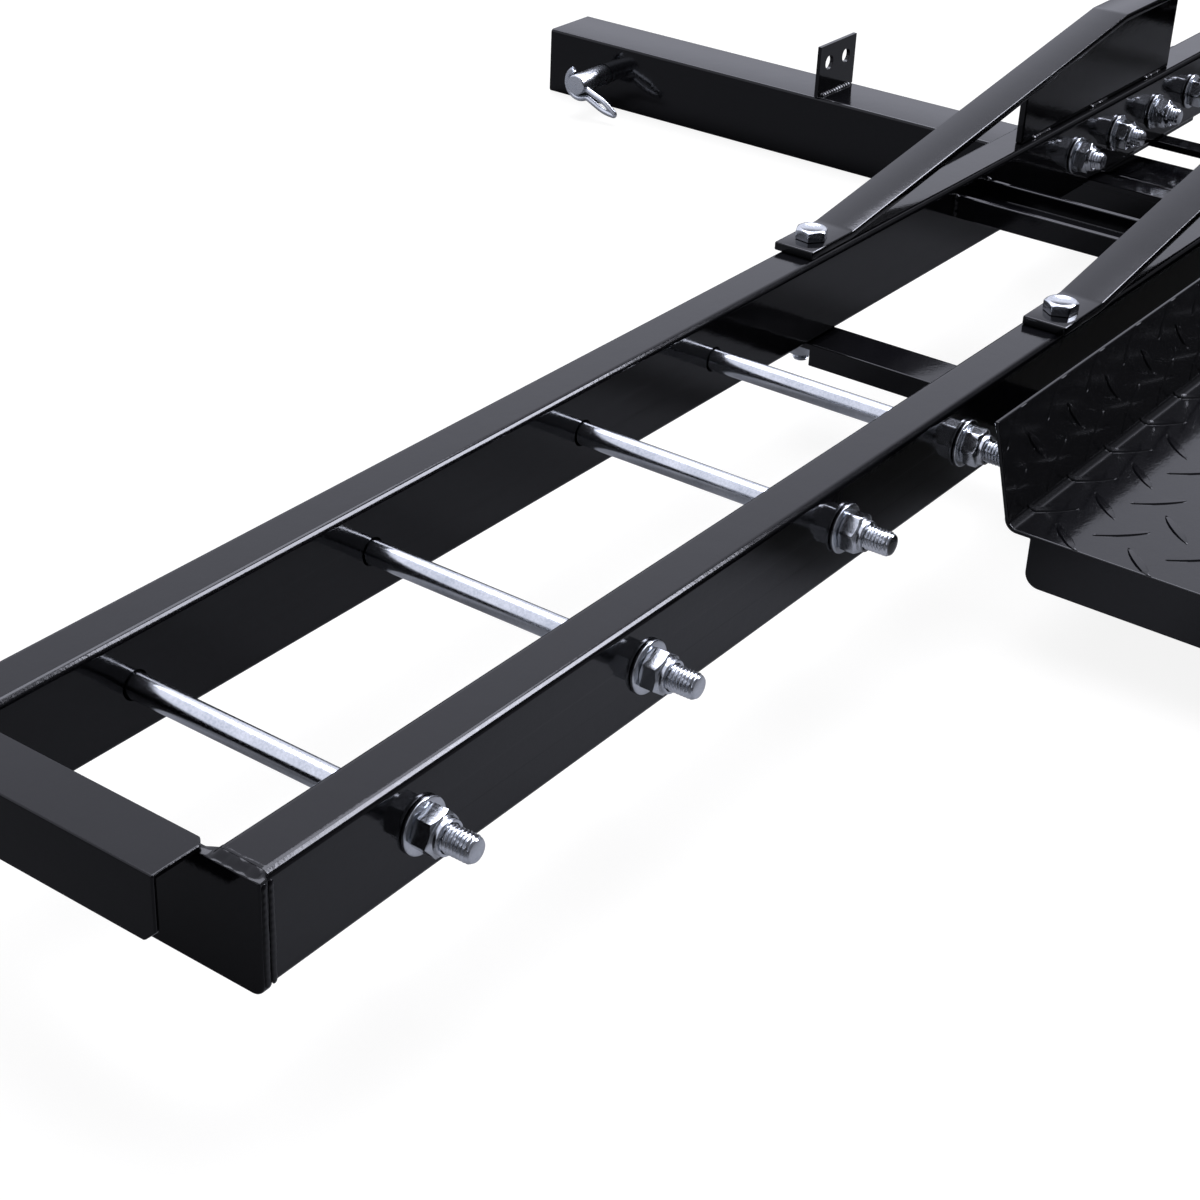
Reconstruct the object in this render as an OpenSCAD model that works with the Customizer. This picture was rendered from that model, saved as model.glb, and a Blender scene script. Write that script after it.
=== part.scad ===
// Motorcycle carrier for a square hitch receiver: a ladder track of two rails with rod rungs,
// bolted across a square hitch bar, with a loading ramp that rides beside the track.
// The origin is the hitch pin axis at the middle of the hitch bar.
// X runs along the track, Y along the hitch bar to its free end, Z is up.

/* [Track] */
// Length of the track over its end plates
track_length = 2080; // [1900:1:2300]
// Clear width between the two rails
rail_gap = 127; // [110:1:160]
// Height of a rail
rail_height = 50.8; // [45:0.1:60]
// Width of a rail
rail_width = 25.4; // [22:0.1:36]
// Wall of a rail
rail_wall = 3; // [2:0.1:5]
// Outer corner radius of a rail
rail_corner = 3.5; // [1:0.1:6]
// Distance from the hitch pin axis to the track's nearer side
track_offset = 413.2; // [360:0.1:520]
// Thickness of the plate across each track end
end_plate = 5; // [3:0.1:8]
// Step from the rail tops down to the top of the end plate
end_plate_step = 2.5; // [1.5:0.1:4]
// Reach of the end plate below the rails
end_plate_drop = 3.3; // [0:0.1:8]
// Radius of the end plate's lower corners
end_plate_corner = 6; // [2:0.1:10]

/* [End hooks] */
// Sheet thickness of the hook angle on each end
hook_sheet = 2.5; // [1.5:0.1:2.5]
// Reach of the hook angle past the end plate
hook_reach = 22.4; // [16:0.1:35]
// Depth of the hook's hanging flange
hook_drop = 31.5; // [20:0.1:45]
// Length of the hook's top flange over the end plate
hook_overlap = 5.3; // [5:0.1:12]
// Gap between the hook angle and each rail's line
hook_side_gap = 3.9; // [0.5:0.1:8]
// Cut across the lower corners of the hanging flange
hook_corner = 6.5; // [4:0.1:14]
// Cut across the inner corners of the top flange
hook_nick = 4; // [2:0.1:5]

/* [Rungs] */
// Places of the rungs, measured in from each track end
rung_places = [87, 234, 394, 512]; // [60:1:560]
// Diameter of a rung rod
rung_rod = 12; // [10:0.1:13]
// Diameter of the rung holes in the rails
rung_hole = 14; // [13.2:0.1:16]
// Length of rod that stands out past the near rail
rung_tail = 27; // [26:0.1:34]

/* [Fasteners] */
// Width across the flats of the large hex heads and nuts
large_flats = 18; // [16:0.1:20]
// Height of a large hex head
large_head = 7.5; // [6:0.1:9]
// Height of a large nut's hex
large_nut = 9; // [8:0.1:11]
// Height of the round collar on a large nut
nut_collar = 3; // [2:0.1:4]
// Outer diameter of a large washer
large_washer = 25; // [23:0.1:30]
// Thickness of a washer
washer_sheet = 2.2; // [1.5:0.1:3]
// Radial gap between a thread and its nut or washer
thread_gap = 0.05; // [0.02:0.01:0.1]
// Radial gap between a bolt and the holes that it passes
bolt_gap = 0.5; // [0.3:0.1:0.8]

/* [Arched straps] */
// Thickness of a strap
strap_sheet = 5; // [4:0.1:7]
// Distance from the track's middle to the end of a strap
strap_half = 428; // [360:1:500]
// Length of the flat foot at each end of a strap
strap_foot = 44; // [40:1:60]
// Length of the flat top of a strap
strap_flat = 72; // [40:1:140]
// Height of the strap's underside over the rails at the flat top
strap_rise = 52.3; // [35:0.1:80]
// Distance from a strap bolt to the end of its strap
strap_bolt_inset = 19; // [15:0.1:22]
// Distance of a strap and its bolts outward from its rail's middle line
strap_shift = 2.5; // [0:0.1:4]
// Diameter of a strap bolt
strap_bolt = 10; // [8:0.1:11]
// Width across the flats of the strap bolt's head and nut
strap_flats = 17; // [15:0.1:18]
// Height of the strap bolt's head
strap_head = 6.4; // [5:0.1:8]
// Height of the strap bolt's nut
strap_nut = 8; // [7:0.1:10]
// Length of the strap bolt below its nut
strap_tail = 5; // [3:0.1:8]
// Thickness of the upright web under a strap
web_sheet = 5; // [4:0.1:7]
// Reach of the web to the left of the track's middle
web_left = 167; // [120:1:240]
// Reach of the web to the right of the track's middle
web_right = 56; // [40:1:120]
// Distance of the web from the rail's inner face
web_inset = 5.6; // [4.5:0.1:12]

/* [Cross pieces] */
// Distance from the track's middle to the outer wall of a cross channel
channel_place = 262; // [230:1:300]
// Width of a cross channel
channel_width = 41; // [30:1:60]
// Height of a cross channel
channel_height = 14.4; // [12:0.1:25]
// Wall of a cross channel
channel_wall = 4; // [3:0.1:5]
// Depth of a cross channel's top below the rail tops
channel_depth = 6.6; // [4:0.1:15]
// Distance from a strap bolt to the outer face of its support angle
support_edge = 17; // [12:0.1:20]
// Width of a support angle's flat flange
support_width = 31; // [30:1:45]
// Height of a support angle's hanging flange
support_drop = 13.6; // [10:0.1:20]
// Sheet thickness of a support angle
support_sheet = 4; // [3:0.1:5]

/* [Hitch] */
// Outside size of the square hitch bar
bar_size = 50.8; // [45:0.1:60]
// Wall of the hitch bar
bar_wall = 4.8; // [4:0.1:6.4]
// Outer corner radius of the hitch bar
bar_corner = 2.5; // [1:0.1:6]
// Length of the hitch bar past the hitch pin axis
bar_nose = 53; // [40:0.1:80]
// Thickness of the bracket angles that carry the rails
bracket_sheet = 6.4; // [5:0.1:8]
// Length of a bracket angle
bracket_length = 250; // [230:1:320]
// Width of a bracket angle's flat leg
bracket_leg = 25.4; // [22:0.1:28]
// Step from the rail tops down to a bracket angle's top
bracket_step = 6; // [3:0.1:12]
// Distance from the track's middle to the inner bracket bolts
inner_bolt_place = 30.5; // [22:0.1:40]
// Distance from the track's middle to the outer bracket bolts
outer_bolt_place = 92.5; // [70:0.1:105]
// Diameter of a bracket bolt
bracket_bolt = 12; // [10:0.1:13]
// Length of bracket bolt that stands out past the rail
bracket_tail = 20; // [18:0.1:26]
// Distance from the track's middle to a tie bar
tie_place = 44; // [38:0.1:55]
// Width of a tie bar
tie_width = 17.7; // [14:0.1:25]
// Thickness of a tie bar
tie_sheet = 5; // [3:0.1:5]

/* [Plate tab] */
// Distance from the hitch pin axis back to the tab's face
tab_place = 197; // [120:1:300]
// Height of the tab above the hitch bar
tab_height = 38.3; // [32:0.1:60]
// Sheet thickness of the tab
tab_sheet = 3; // [2:0.1:4]
// Diameter of the tab's two holes
tab_hole = 10.6; // [6:0.1:12]
// Distance between the tab's two holes
tab_hole_pitch = 24; // [18:0.1:28]
// Height of the tab's holes above the hitch bar
tab_hole_height = 24.2; // [18:0.1:26]

/* [Hitch pin] */
// Diameter of the hitch pin
pin_size = 15.9; // [12:0.1:16]
// Radial gap between the hitch pin and its hole in the bar
pin_gap = 0.4; // [0.2:0.1:0.8]
// Length of pin that stands out on the clip side
pin_tail = 37.6; // [36:0.1:45]
// Distance from the pin's tip to the clip hole
clip_inset = 6; // [5.5:0.1:12]
// Centre radius of the pin's bend
pin_bend = 14; // [12:0.1:20]
// Straight length of the pin's bent arm
pin_arm = 45; // [30:0.1:60]
// Length of straight pin between the bar and the bend
pin_play = 1.5; // [1:0.1:3]
// Diameter of the clip's wire
clip_wire = 3.6; // [3:0.1:4]
// Centre radius of the clip's arc round the pin
clip_arc = 12.5; // [11.5:0.1:14]
// Angle from the clip's legs at which its arc round the pin ends
clip_wrap = 215; // [150:1:220]
// Distance between the clip's two legs
clip_pitch = 7.2; // [6.5:0.1:8]
// Bend radius where the outer leg turns into the arc
clip_turn = 6; // [4:0.1:8]
// Reach of the clip's legs from the pin axis to the closed end
clip_reach = 40; // [30:0.1:42]
// Tilt of the clip's legs below the hitch bar's direction
clip_tilt = 23; // [0:1:23]

/* [Ramp] */
// Length of the ramp's floor
ramp_length = 1108; // [900:1:1150]
// Outside width of the ramp along its floor
ramp_width = 190; // [160:1:240]
// Outside height of the ramp's sides
ramp_height = 60.4; // [40:0.1:80]
// Distance by which each side of the ramp leans outward at its top
ramp_flare = 7.8; // [0:0.1:12]
// Sheet thickness of the ramp
ramp_sheet = 2.2; // [1.8:0.1:4]
// Inside bend radius along the ramp's floor
ramp_bend = 5; // [2:0.1:8]
// Gap between the near rail and the foot of the ramp's side
ramp_gap = 39.3; // [38:0.1:60]
// Reach of each side's top past the end of the floor
ramp_rake = 9.6; // [2:0.1:30]
// Depth of the lip turned down at each ramp end
ramp_lip = 28.2; // [15:0.1:40]
// Distance of the lip's ends from the ramp's sides
lip_inset = 15; // [8:0.1:25]
// Corner radius of the lip
lip_corner = 8; // [4:0.1:12]

/* [Hidden] */

$fn = 64;
hex_sides = 6;
// Extra length by which a cut runs past the face it opens
over = 1;

rail_bottom = bar_size / 2 + bracket_sheet;
rail_top = rail_bottom + rail_height;
rail_middle = rail_bottom + rail_height / 2;
half_track = track_length / 2;

far_outer = -track_offset;
far_inner = far_outer - rail_width;
near_inner = far_inner - rail_gap;
near_outer = near_inner - rail_width;
far_line = (far_outer + far_inner) / 2;
near_line = (near_outer + near_inner) / 2;
track_line = (far_outer + near_outer) / 2;
far_strap_line = far_line + strap_shift;
near_strap_line = near_line - strap_shift;

rung_x = [for (side = [-1, 1]) for (place = rung_places) side * (half_track - place)];
bracket_bolt_x = [-outer_bolt_place, -inner_bolt_place, inner_bolt_place, outer_bolt_place];
strap_bolt_place = strap_half - strap_bolt_inset;

bar_half = bar_size / 2;
support_place = strap_bolt_place + support_edge;
support_top = rail_bottom;
support_bottom = rail_bottom - support_sheet;

ramp_near_side = near_outer - ramp_gap - ramp_width;
ramp_line = near_outer - ramp_gap - ramp_width / 2;
lip_drop = ramp_lip - ramp_sheet;

pin_hole = pin_size + 2 * pin_gap;
clip_x = -(bar_half + pin_tail - clip_inset);

// Height of the strap's underside over the rail tops at a distance from the middle
strap_ramp_run = strap_half - strap_foot - strap_flat / 2;
function strap_under(x) =
    let (past_flat = max(abs(x) - strap_flat / 2, 0))
    strap_rise * max(1 - past_flat / strap_ramp_run, 0);

// Rectangle with round corners, centred
module round_rect(width, height, radius) {
    square([width - 2 * radius, height], center = true);
    square([width, height - 2 * radius], center = true);
    for (x = [-1, 1])
        for (y = [-1, 1])
            translate([x * (width / 2 - radius), y * (height / 2 - radius)])
                circle(r = radius);
}

// Cross-section of a hollow tube
module tube_section(width, height, wall, radius) {
    difference() {
        round_rect(width, height, radius);
        round_rect(width - 2 * wall, height - 2 * wall, radius / 2);
    }
}

// Carries a flat shape drawn in X and Z along Y, from y = start
module along_y(start, length) {
    translate([0, start + length, 0])
        rotate([90, 0, 0])
            linear_extrude(length)
                children();
}

// Carries a flat shape drawn in Y and Z along X, from x = start
module along_x(start, length) {
    translate([start, 0, 0])
        rotate([90, 0, 90])
            linear_extrude(length)
                children();
}

// Box given by its low corner and its high corner
module block(low, high) {
    translate(low)
        cube(high - low);
}

// Round rod along Y between two places
module rod_y(x, y_low, y_high, z, size) {
    translate([x, y_low, z])
        rotate([-90, 0, 0])
            cylinder(d = size, h = y_high - y_low);
}

// Hexagonal prism along Y between two places
module hex_y(x, y_low, y_high, z, flats) {
    translate([x, y_low, z])
        rotate([-90, 0, 0])
            cylinder(d = flats / cos(30), h = y_high - y_low, $fn = hex_sides);
}

// Left half of the rail whose middle line is at y = line, with its strap bolt at y = bolt_line
module rail_left(line, bolt_line) {
    difference() {
        translate([0, line, rail_middle])
            along_x(-half_track + end_plate, half_track - end_plate)
                tube_section(rail_width, rail_height, rail_wall, rail_corner);
        for (x = rung_x)
            rod_y(x, line - rail_width, line + rail_width, rail_middle, rung_hole);
        for (x = bracket_bolt_x)
            rod_y(x, line - rail_width, line + rail_width, rail_middle, bracket_bolt + 2 * bolt_gap);
        translate([-strap_bolt_place, bolt_line, rail_bottom - over])
            cylinder(d = strap_bolt + 2 * bolt_gap, h = rail_height + 2 * over);
    }
}

module rail_near_left() {
    color("#26262a")
        rail_left(near_line, near_strap_line);
}

module rail_near_right() {
    color("#26262a")
        mirror([1, 0, 0])
            rail_left(near_line, near_strap_line);
}

module rail_far_left() {
    color("#26262a")
        rail_left(far_line, far_strap_line);
}

module rail_far_right() {
    color("#26262a")
        mirror([1, 0, 0])
            rail_left(far_line, far_strap_line);
}

module end_plate_left() {
    width = far_outer - near_outer;
    bottom = rail_bottom - end_plate_drop;
    top = rail_top - end_plate_step;
    color("#2c2c31")
        translate([0, track_line, 0])
            along_x(-half_track, end_plate) {
                translate([-width / 2, bottom + end_plate_corner])
                    square([width, top - bottom - end_plate_corner]);
                translate([-width / 2 + end_plate_corner, bottom])
                    square([width - 2 * end_plate_corner, end_plate_corner]);
                for (side = [-1, 1])
                    translate([side * (width / 2 - end_plate_corner), bottom + end_plate_corner])
                        circle(r = end_plate_corner);
            }
}

module end_plate_right() {
    color("#2c2c31")
        mirror([1, 0, 0])
            end_plate_left();
}

// Angle on the track end: its top flange lies on the end plate, its other flange hangs outside
module hook_angle_left() {
    x_out = -half_track - hook_reach;
    x_in = -half_track + hook_overlap;
    width = rail_gap - 2 * hook_side_gap;
    flange_top = rail_top - end_plate_step + hook_sheet;
    color("#303036")
        difference() {
            union() {
                block([x_out, track_line - width / 2, flange_top - hook_sheet],
                      [x_in, track_line + width / 2, flange_top]);
                block([x_out, track_line - width / 2, flange_top - hook_drop],
                      [x_out + hook_sheet, track_line + width / 2, flange_top]);
            }
            for (side = [-1, 1]) {
                translate([x_out, track_line + side * width / 2, flange_top - hook_drop])
                    rotate([45, 0, 0])
                        cube([4 * hook_sheet, hook_corner * sqrt(2), hook_corner * sqrt(2)],
                             center = true);
                translate([x_in, track_line + side * width / 2, flange_top])
                    rotate([0, 0, 45])
                        cube([hook_nick * sqrt(2), hook_nick * sqrt(2), 4 * hook_sheet],
                             center = true);
            }
        }
}

module hook_angle_right() {
    color("#303036")
        mirror([1, 0, 0])
            hook_angle_left();
}

// Rungs: long hex-head rods through both rails
module rung_rods() {
    color("#c9ccd0")
        for (x = rung_x) {
            rod_y(x, near_outer - rung_tail, far_outer + over, rail_middle, rung_rod);
            hex_y(x, far_outer, far_outer + large_head, rail_middle, large_flats);
        }
}

// Washer on a near face, growing towards lower y
module washer_at(x, y_face, size) {
    difference() {
        rod_y(x, y_face - washer_sheet, y_face, rail_middle, large_washer);
        rod_y(x, y_face - washer_sheet - over, y_face + over, rail_middle, size + 2 * thread_gap);
    }
}

// Collared nut, growing towards lower y
module nut_at(x, y_face, size) {
    difference() {
        union() {
            hex_y(x, y_face - large_nut, y_face, rail_middle, large_flats);
            rod_y(x, y_face - large_nut - nut_collar, y_face - large_nut / 2, rail_middle,
                  large_flats - 2);
        }
        rod_y(x, y_face - 2 * large_nut, y_face + over, rail_middle, size + 2 * thread_gap);
    }
}

module rung_washers() {
    color("#bfc3c8")
        for (x = rung_x)
            washer_at(x, near_outer, rung_rod);
}

module rung_nuts() {
    color("#b4b8be")
        for (x = rung_x)
            nut_at(x, near_outer - washer_sheet, rung_rod);
}

// Arched strap whose middle line is at y = line
module strap(line) {
    underside = [for (x = [-strap_half, -strap_half + strap_foot, -strap_flat / 2,
                           strap_flat / 2, strap_half - strap_foot, strap_half])
                     [x, rail_top + strap_under(x)]];
    topside = [for (i = [len(underside) - 1 : -1 : 0])
                   underside[i] + [0, strap_sheet]];
    difference() {
        along_y(line - rail_width / 2, rail_width)
            polygon(concat(underside, topside));
        for (side = [-1, 1])
            translate([side * strap_bolt_place, line, rail_top - over])
                cylinder(d = strap_bolt + 2 * bolt_gap, h = strap_sheet + 2 * over);
    }
}

module strap_near() {
    color("#3a3a40")
        strap(near_strap_line);
}

module strap_far() {
    color("#3a3a40")
        strap(far_strap_line);
}

// Upright web between a rail's top and its strap
module web(y_low) {
    tops = [-web_left, max(-strap_flat / 2, -web_left), min(strap_flat / 2, web_right), web_right];
    along_y(y_low, web_sheet)
        polygon(concat([[web_right, rail_top], [-web_left, rail_top]],
                       [for (x = tops) [x, rail_top + strap_under(x)]]));
}

module web_near() {
    color("#1d1d21")
        web(near_inner - web_inset - web_sheet);
}

module web_far() {
    color("#1d1d21")
        web(far_inner + web_inset);
}

// Places one child over each strap bolt hole
module at_strap_bolts() {
    for (x = [-strap_bolt_place, strap_bolt_place])
        for (y = [near_strap_line, far_strap_line])
            translate([x, y, 0])
                children();
}

module strap_bolts() {
    shank_bottom = support_bottom - washer_sheet - strap_nut - strap_tail;
    color("#d2d5d9")
        at_strap_bolts() {
            translate([0, 0, shank_bottom])
                cylinder(d = strap_bolt, h = rail_top + strap_sheet + over - shank_bottom);
            translate([0, 0, rail_top + strap_sheet])
                cylinder(d = strap_flats / cos(30), h = strap_head, $fn = hex_sides);
        }
}

module strap_washers() {
    color("#bfc3c8")
        at_strap_bolts()
            translate([0, 0, support_bottom - washer_sheet])
                difference() {
                    cylinder(d = strap_flats + 2, h = washer_sheet);
                    translate([0, 0, -over])
                        cylinder(d = strap_bolt + 2 * thread_gap, h = washer_sheet + 2 * over);
                }
}

module strap_nuts() {
    color("#b4b8be")
        at_strap_bolts()
            translate([0, 0, support_bottom - washer_sheet - strap_nut])
                difference() {
                    cylinder(d = strap_flats / cos(30), h = strap_nut, $fn = hex_sides);
                    translate([0, 0, -over])
                        cylinder(d = strap_bolt + 2 * thread_gap, h = strap_nut + 2 * over);
                }
}

// Channel between the rails, open at the top
module cross_channel_left() {
    top = rail_top - channel_depth;
    bottom = top - channel_height;
    inner = -channel_place + channel_width;
    color("#232327")
        difference() {
            block([-channel_place, near_inner, bottom], [inner, far_inner, top]);
            block([-channel_place + channel_wall, near_inner - over, bottom + channel_wall],
                  [inner - channel_wall, far_inner + over, top + over]);
        }
}

module cross_channel_right() {
    color("#232327")
        mirror([1, 0, 0])
            cross_channel_left();
}

// Angle under the rails that also carries the ramp
module support_angle_left() {
    color("#2a2a2f")
        difference() {
            union() {
                block([-support_place, ramp_near_side, support_bottom],
                      [-support_place + support_width, far_outer, support_top]);
                block([-support_place, ramp_near_side, support_top - support_drop],
                      [-support_place + support_sheet, far_inner, support_top]);
            }
            for (y = [near_strap_line, far_strap_line])
                translate([-strap_bolt_place, y, support_bottom - over])
                    cylinder(d = strap_bolt + 2 * bolt_gap, h = support_sheet + 2 * over);
        }
}

module support_angle_right() {
    color("#2a2a2f")
        mirror([1, 0, 0])
            support_angle_left();
}

module hitch_bar() {
    y_low = near_outer - bracket_sheet;
    color("#2b2b30")
        difference() {
            along_y(y_low, bar_nose - y_low)
                tube_section(bar_size, bar_size, bar_wall, bar_corner);
            translate([-bar_size, 0, 0])
                rotate([0, 90, 0])
                    cylinder(d = pin_hole, h = 2 * bar_size);
        }
}

// Angle outside a rail and under it, drawn for the far rail
module bracket_angle(outer_face) {
    top = rail_top - bracket_step;
    difference() {
        union() {
            block([-bracket_length / 2, outer_face, bar_half],
                  [bracket_length / 2, outer_face + bracket_sheet, top]);
            block([-bracket_length / 2, outer_face + bracket_sheet - bracket_leg, bar_half],
                  [bracket_length / 2, outer_face + bracket_sheet, rail_bottom]);
        }
        for (x = bracket_bolt_x)
            rod_y(x, outer_face - over, outer_face + bracket_sheet + over, rail_middle,
                  bracket_bolt + 2 * bolt_gap);
    }
}

// Turns what is drawn for the far rail into its copy on the near rail
module on_near_rail() {
    translate([0, 2 * track_line, 0])
        mirror([0, 1, 0])
            children();
}

module bracket_angle_near() {
    color("#29292e")
        on_near_rail()
            bracket_angle(far_outer);
}

module bracket_angle_far() {
    color("#29292e")
        bracket_angle(far_outer);
}

// Flat bar that ties the two bracket angles beside the hitch bar
module tie_bar_right() {
    leg_edge = far_outer + bracket_sheet - bracket_leg;
    near_edge = 2 * track_line - leg_edge;
    color("#29292e")
        block([tie_place, near_edge, rail_bottom - tie_sheet],
              [tie_place + tie_width, leg_edge, rail_bottom]);
}

module tie_bar_left() {
    color("#29292e")
        mirror([1, 0, 0])
            tie_bar_right();
}

// One child on each rail, drawn for the far rail
module on_both_rails() {
    children();
    on_near_rail()
        children();
}

module bracket_bolts() {
    head_face = far_outer + bracket_sheet;
    color("#c9ccd0")
        on_both_rails()
            for (x = bracket_bolt_x) {
                rod_y(x, far_inner - bracket_tail, head_face + over, rail_middle, bracket_bolt);
                hex_y(x, head_face, head_face + large_head, rail_middle, large_flats);
            }
}

module bracket_washers() {
    color("#bfc3c8")
        on_both_rails()
            for (x = bracket_bolt_x)
                washer_at(x, far_inner, bracket_bolt);
}

module bracket_nuts() {
    color("#b4b8be")
        on_both_rails()
            for (x = bracket_bolt_x)
                nut_at(x, far_inner - washer_sheet, bracket_bolt);
}

// Upright plate on top of the hitch bar with two holes
module plate_tab() {
    color("#2b2b30")
        difference() {
            block([-bar_half, -tab_place, bar_half],
                  [bar_half, -tab_place + tab_sheet, bar_half + tab_height]);
            for (side = [-1, 1])
                rod_y(side * tab_hole_pitch / 2, -tab_place - over, -tab_place + tab_sheet + over,
                      bar_half + tab_hole_height, tab_hole);
        }
}

// Turns the clip's own plane so that its legs point back and down
module clip_frame() {
    translate([clip_x, 0, 0])
        rotate([180 + clip_tilt, 0, 0])
            children();
}

// Bent pin: a straight shank through the bar, a quarter turn and an arm
module hitch_pin() {
    bend_x = bar_half + pin_play;
    tip_x = -bar_half - pin_tail;
    color("#c4c7cc")
        difference() {
            union() {
                translate([tip_x, 0, 0])
                    rotate([0, 90, 0])
                        cylinder(d = pin_size, h = bend_x - tip_x);
                translate([bend_x, -pin_bend, 0])
                    rotate_extrude(angle = 90)
                        translate([pin_bend, 0])
                            circle(d = pin_size);
                rod_y(bend_x + pin_bend, -pin_bend - pin_arm, -pin_bend, 0, pin_size);
            }
            clip_frame()
                rod_y(0, -pin_size, pin_size, 0, clip_wire + 2 * bolt_gap);
        }
}

// Wire clip: one leg through the pin, a closed end, and an arc round the pin.
// Each stretch ends square where the next begins, so the wire is one smooth path.
module pin_clip() {
    turn_x = sqrt(pow(clip_arc + clip_turn, 2) - pow(clip_pitch + clip_turn, 2));
    turn_angle = atan2(clip_pitch + clip_turn, turn_x);
    inner_end = -pin_size / 2 - 1;
    color("#d5d8dc")
        clip_frame()
            rotate([90, 0, 90]) {
                wire_leg(inner_end, 0);
                wire_leg(turn_x, clip_pitch);
                wire_arc(clip_reach, clip_pitch / 2, clip_pitch / 2, -90, 180);
                wire_arc(turn_x, clip_pitch + clip_turn, clip_turn, 180 + turn_angle, 90 - turn_angle);
                wire_arc(0, 0, clip_arc, turn_angle, clip_wrap - turn_angle);
            }
}

// Straight stretch of the clip's wire from x to the closed end, at height y
module wire_leg(x, y) {
    translate([x, y, 0])
        rotate([0, 90, 0])
            cylinder(d = clip_wire, h = clip_reach - x);
}

// Bent stretch of the clip's wire round a centre, from an angle onwards
module wire_arc(x, y, radius, start, sweep) {
    translate([x, y, 0])
        rotate([0, 0, start])
            rotate_extrude(angle = sweep)
                translate([radius, 0])
                    circle(d = clip_wire);
}

// Cross-section of one side of the ramp, with the floor up to the ramp's middle line.
// The fold is part of a ring, and the side stands on it and leans outward.
module ramp_half_section() {
    outer = ramp_bend + ramp_sheet;
    centre = ramp_width / 2 - outer;
    lean = atan2(ramp_flare, ramp_height - outer);
    foot = [cos(lean), -sin(lean)];
    outer_foot = [centre, outer] + outer * foot;
    inner_foot = [centre, outer] + ramp_bend * foot;
    outer_top = outer_foot[0] + (ramp_height - outer_foot[1]) * tan(lean);
    inner_top = inner_foot[0] + (ramp_height - inner_foot[1]) * tan(lean);
    square([centre, ramp_sheet]);
    polygon([inner_foot, outer_foot, [outer_top, ramp_height], [inner_top, ramp_height]]);
    intersection() {
        translate([centre, outer])
            difference() {
                circle(r = outer);
                circle(r = ramp_bend);
            }
        polygon([[centre, outer], [centre, -outer], [centre + 2 * outer, -outer],
                 [centre, outer] + 2 * outer * foot]);
    }
}

// Loading ramp: a sheet folded up along both sides and down at both ends
module ramp() {
    half = ramp_length / 2;
    fold_top = ramp_bend + ramp_sheet;
    side_run = half + ramp_rake;
    color("#34343a")
        translate([0, ramp_line, rail_bottom]) {
            difference() {
                along_x(-side_run, 2 * side_run)
                    for (turn = [0, 1])
                        mirror([turn, 0])
                            ramp_half_section();
                for (side = [-1, 1])
                    along_y(-ramp_width, 2 * ramp_width)
                        polygon([[side * half, -over],
                                 [side * half, fold_top],
                                 [side * side_run, ramp_height],
                                 [side * (side_run + over), ramp_height],
                                 [side * (side_run + over), -over]]);
            }
            for (side = [-1, 1])
                translate([side * (half - ramp_sheet / 2) - ramp_sheet / 2, 0, 0])
                    along_x(0, ramp_sheet)
                        lip_outline();
        }
}

// Outline of the lip turned down at a ramp end
module lip_outline() {
    width = ramp_width - 2 * lip_inset;
    translate([-width / 2, -lip_drop + lip_corner])
        square([width, lip_drop - lip_corner + ramp_sheet]);
    translate([-width / 2 + lip_corner, -lip_drop])
        square([width - 2 * lip_corner, lip_corner]);
    for (side = [-1, 1])
        translate([side * (width / 2 - lip_corner), -lip_drop + lip_corner])
            circle(r = lip_corner);
}

rail_near_left();
rail_near_right();
rail_far_left();
rail_far_right();
end_plate_left();
end_plate_right();
hook_angle_left();
hook_angle_right();
rung_rods();
rung_washers();
rung_nuts();
strap_near();
strap_far();
web_near();
web_far();
strap_bolts();
strap_washers();
strap_nuts();
cross_channel_left();
cross_channel_right();
support_angle_left();
support_angle_right();
hitch_bar();
bracket_angle_near();
bracket_angle_far();
tie_bar_left();
tie_bar_right();
bracket_bolts();
bracket_washers();
bracket_nuts();
plate_tab();
hitch_pin();
pin_clip();
ramp();
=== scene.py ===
"""Dresses a hitch motorcycle carrier: coated track and straps, zinc-plated hardware, tread-plate ramp."""

import math

import bmesh
import bpy
import numpy as np
from bpy.props import FloatProperty, FloatVectorProperty, PointerProperty
from mathutils import Matrix, Vector


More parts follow.
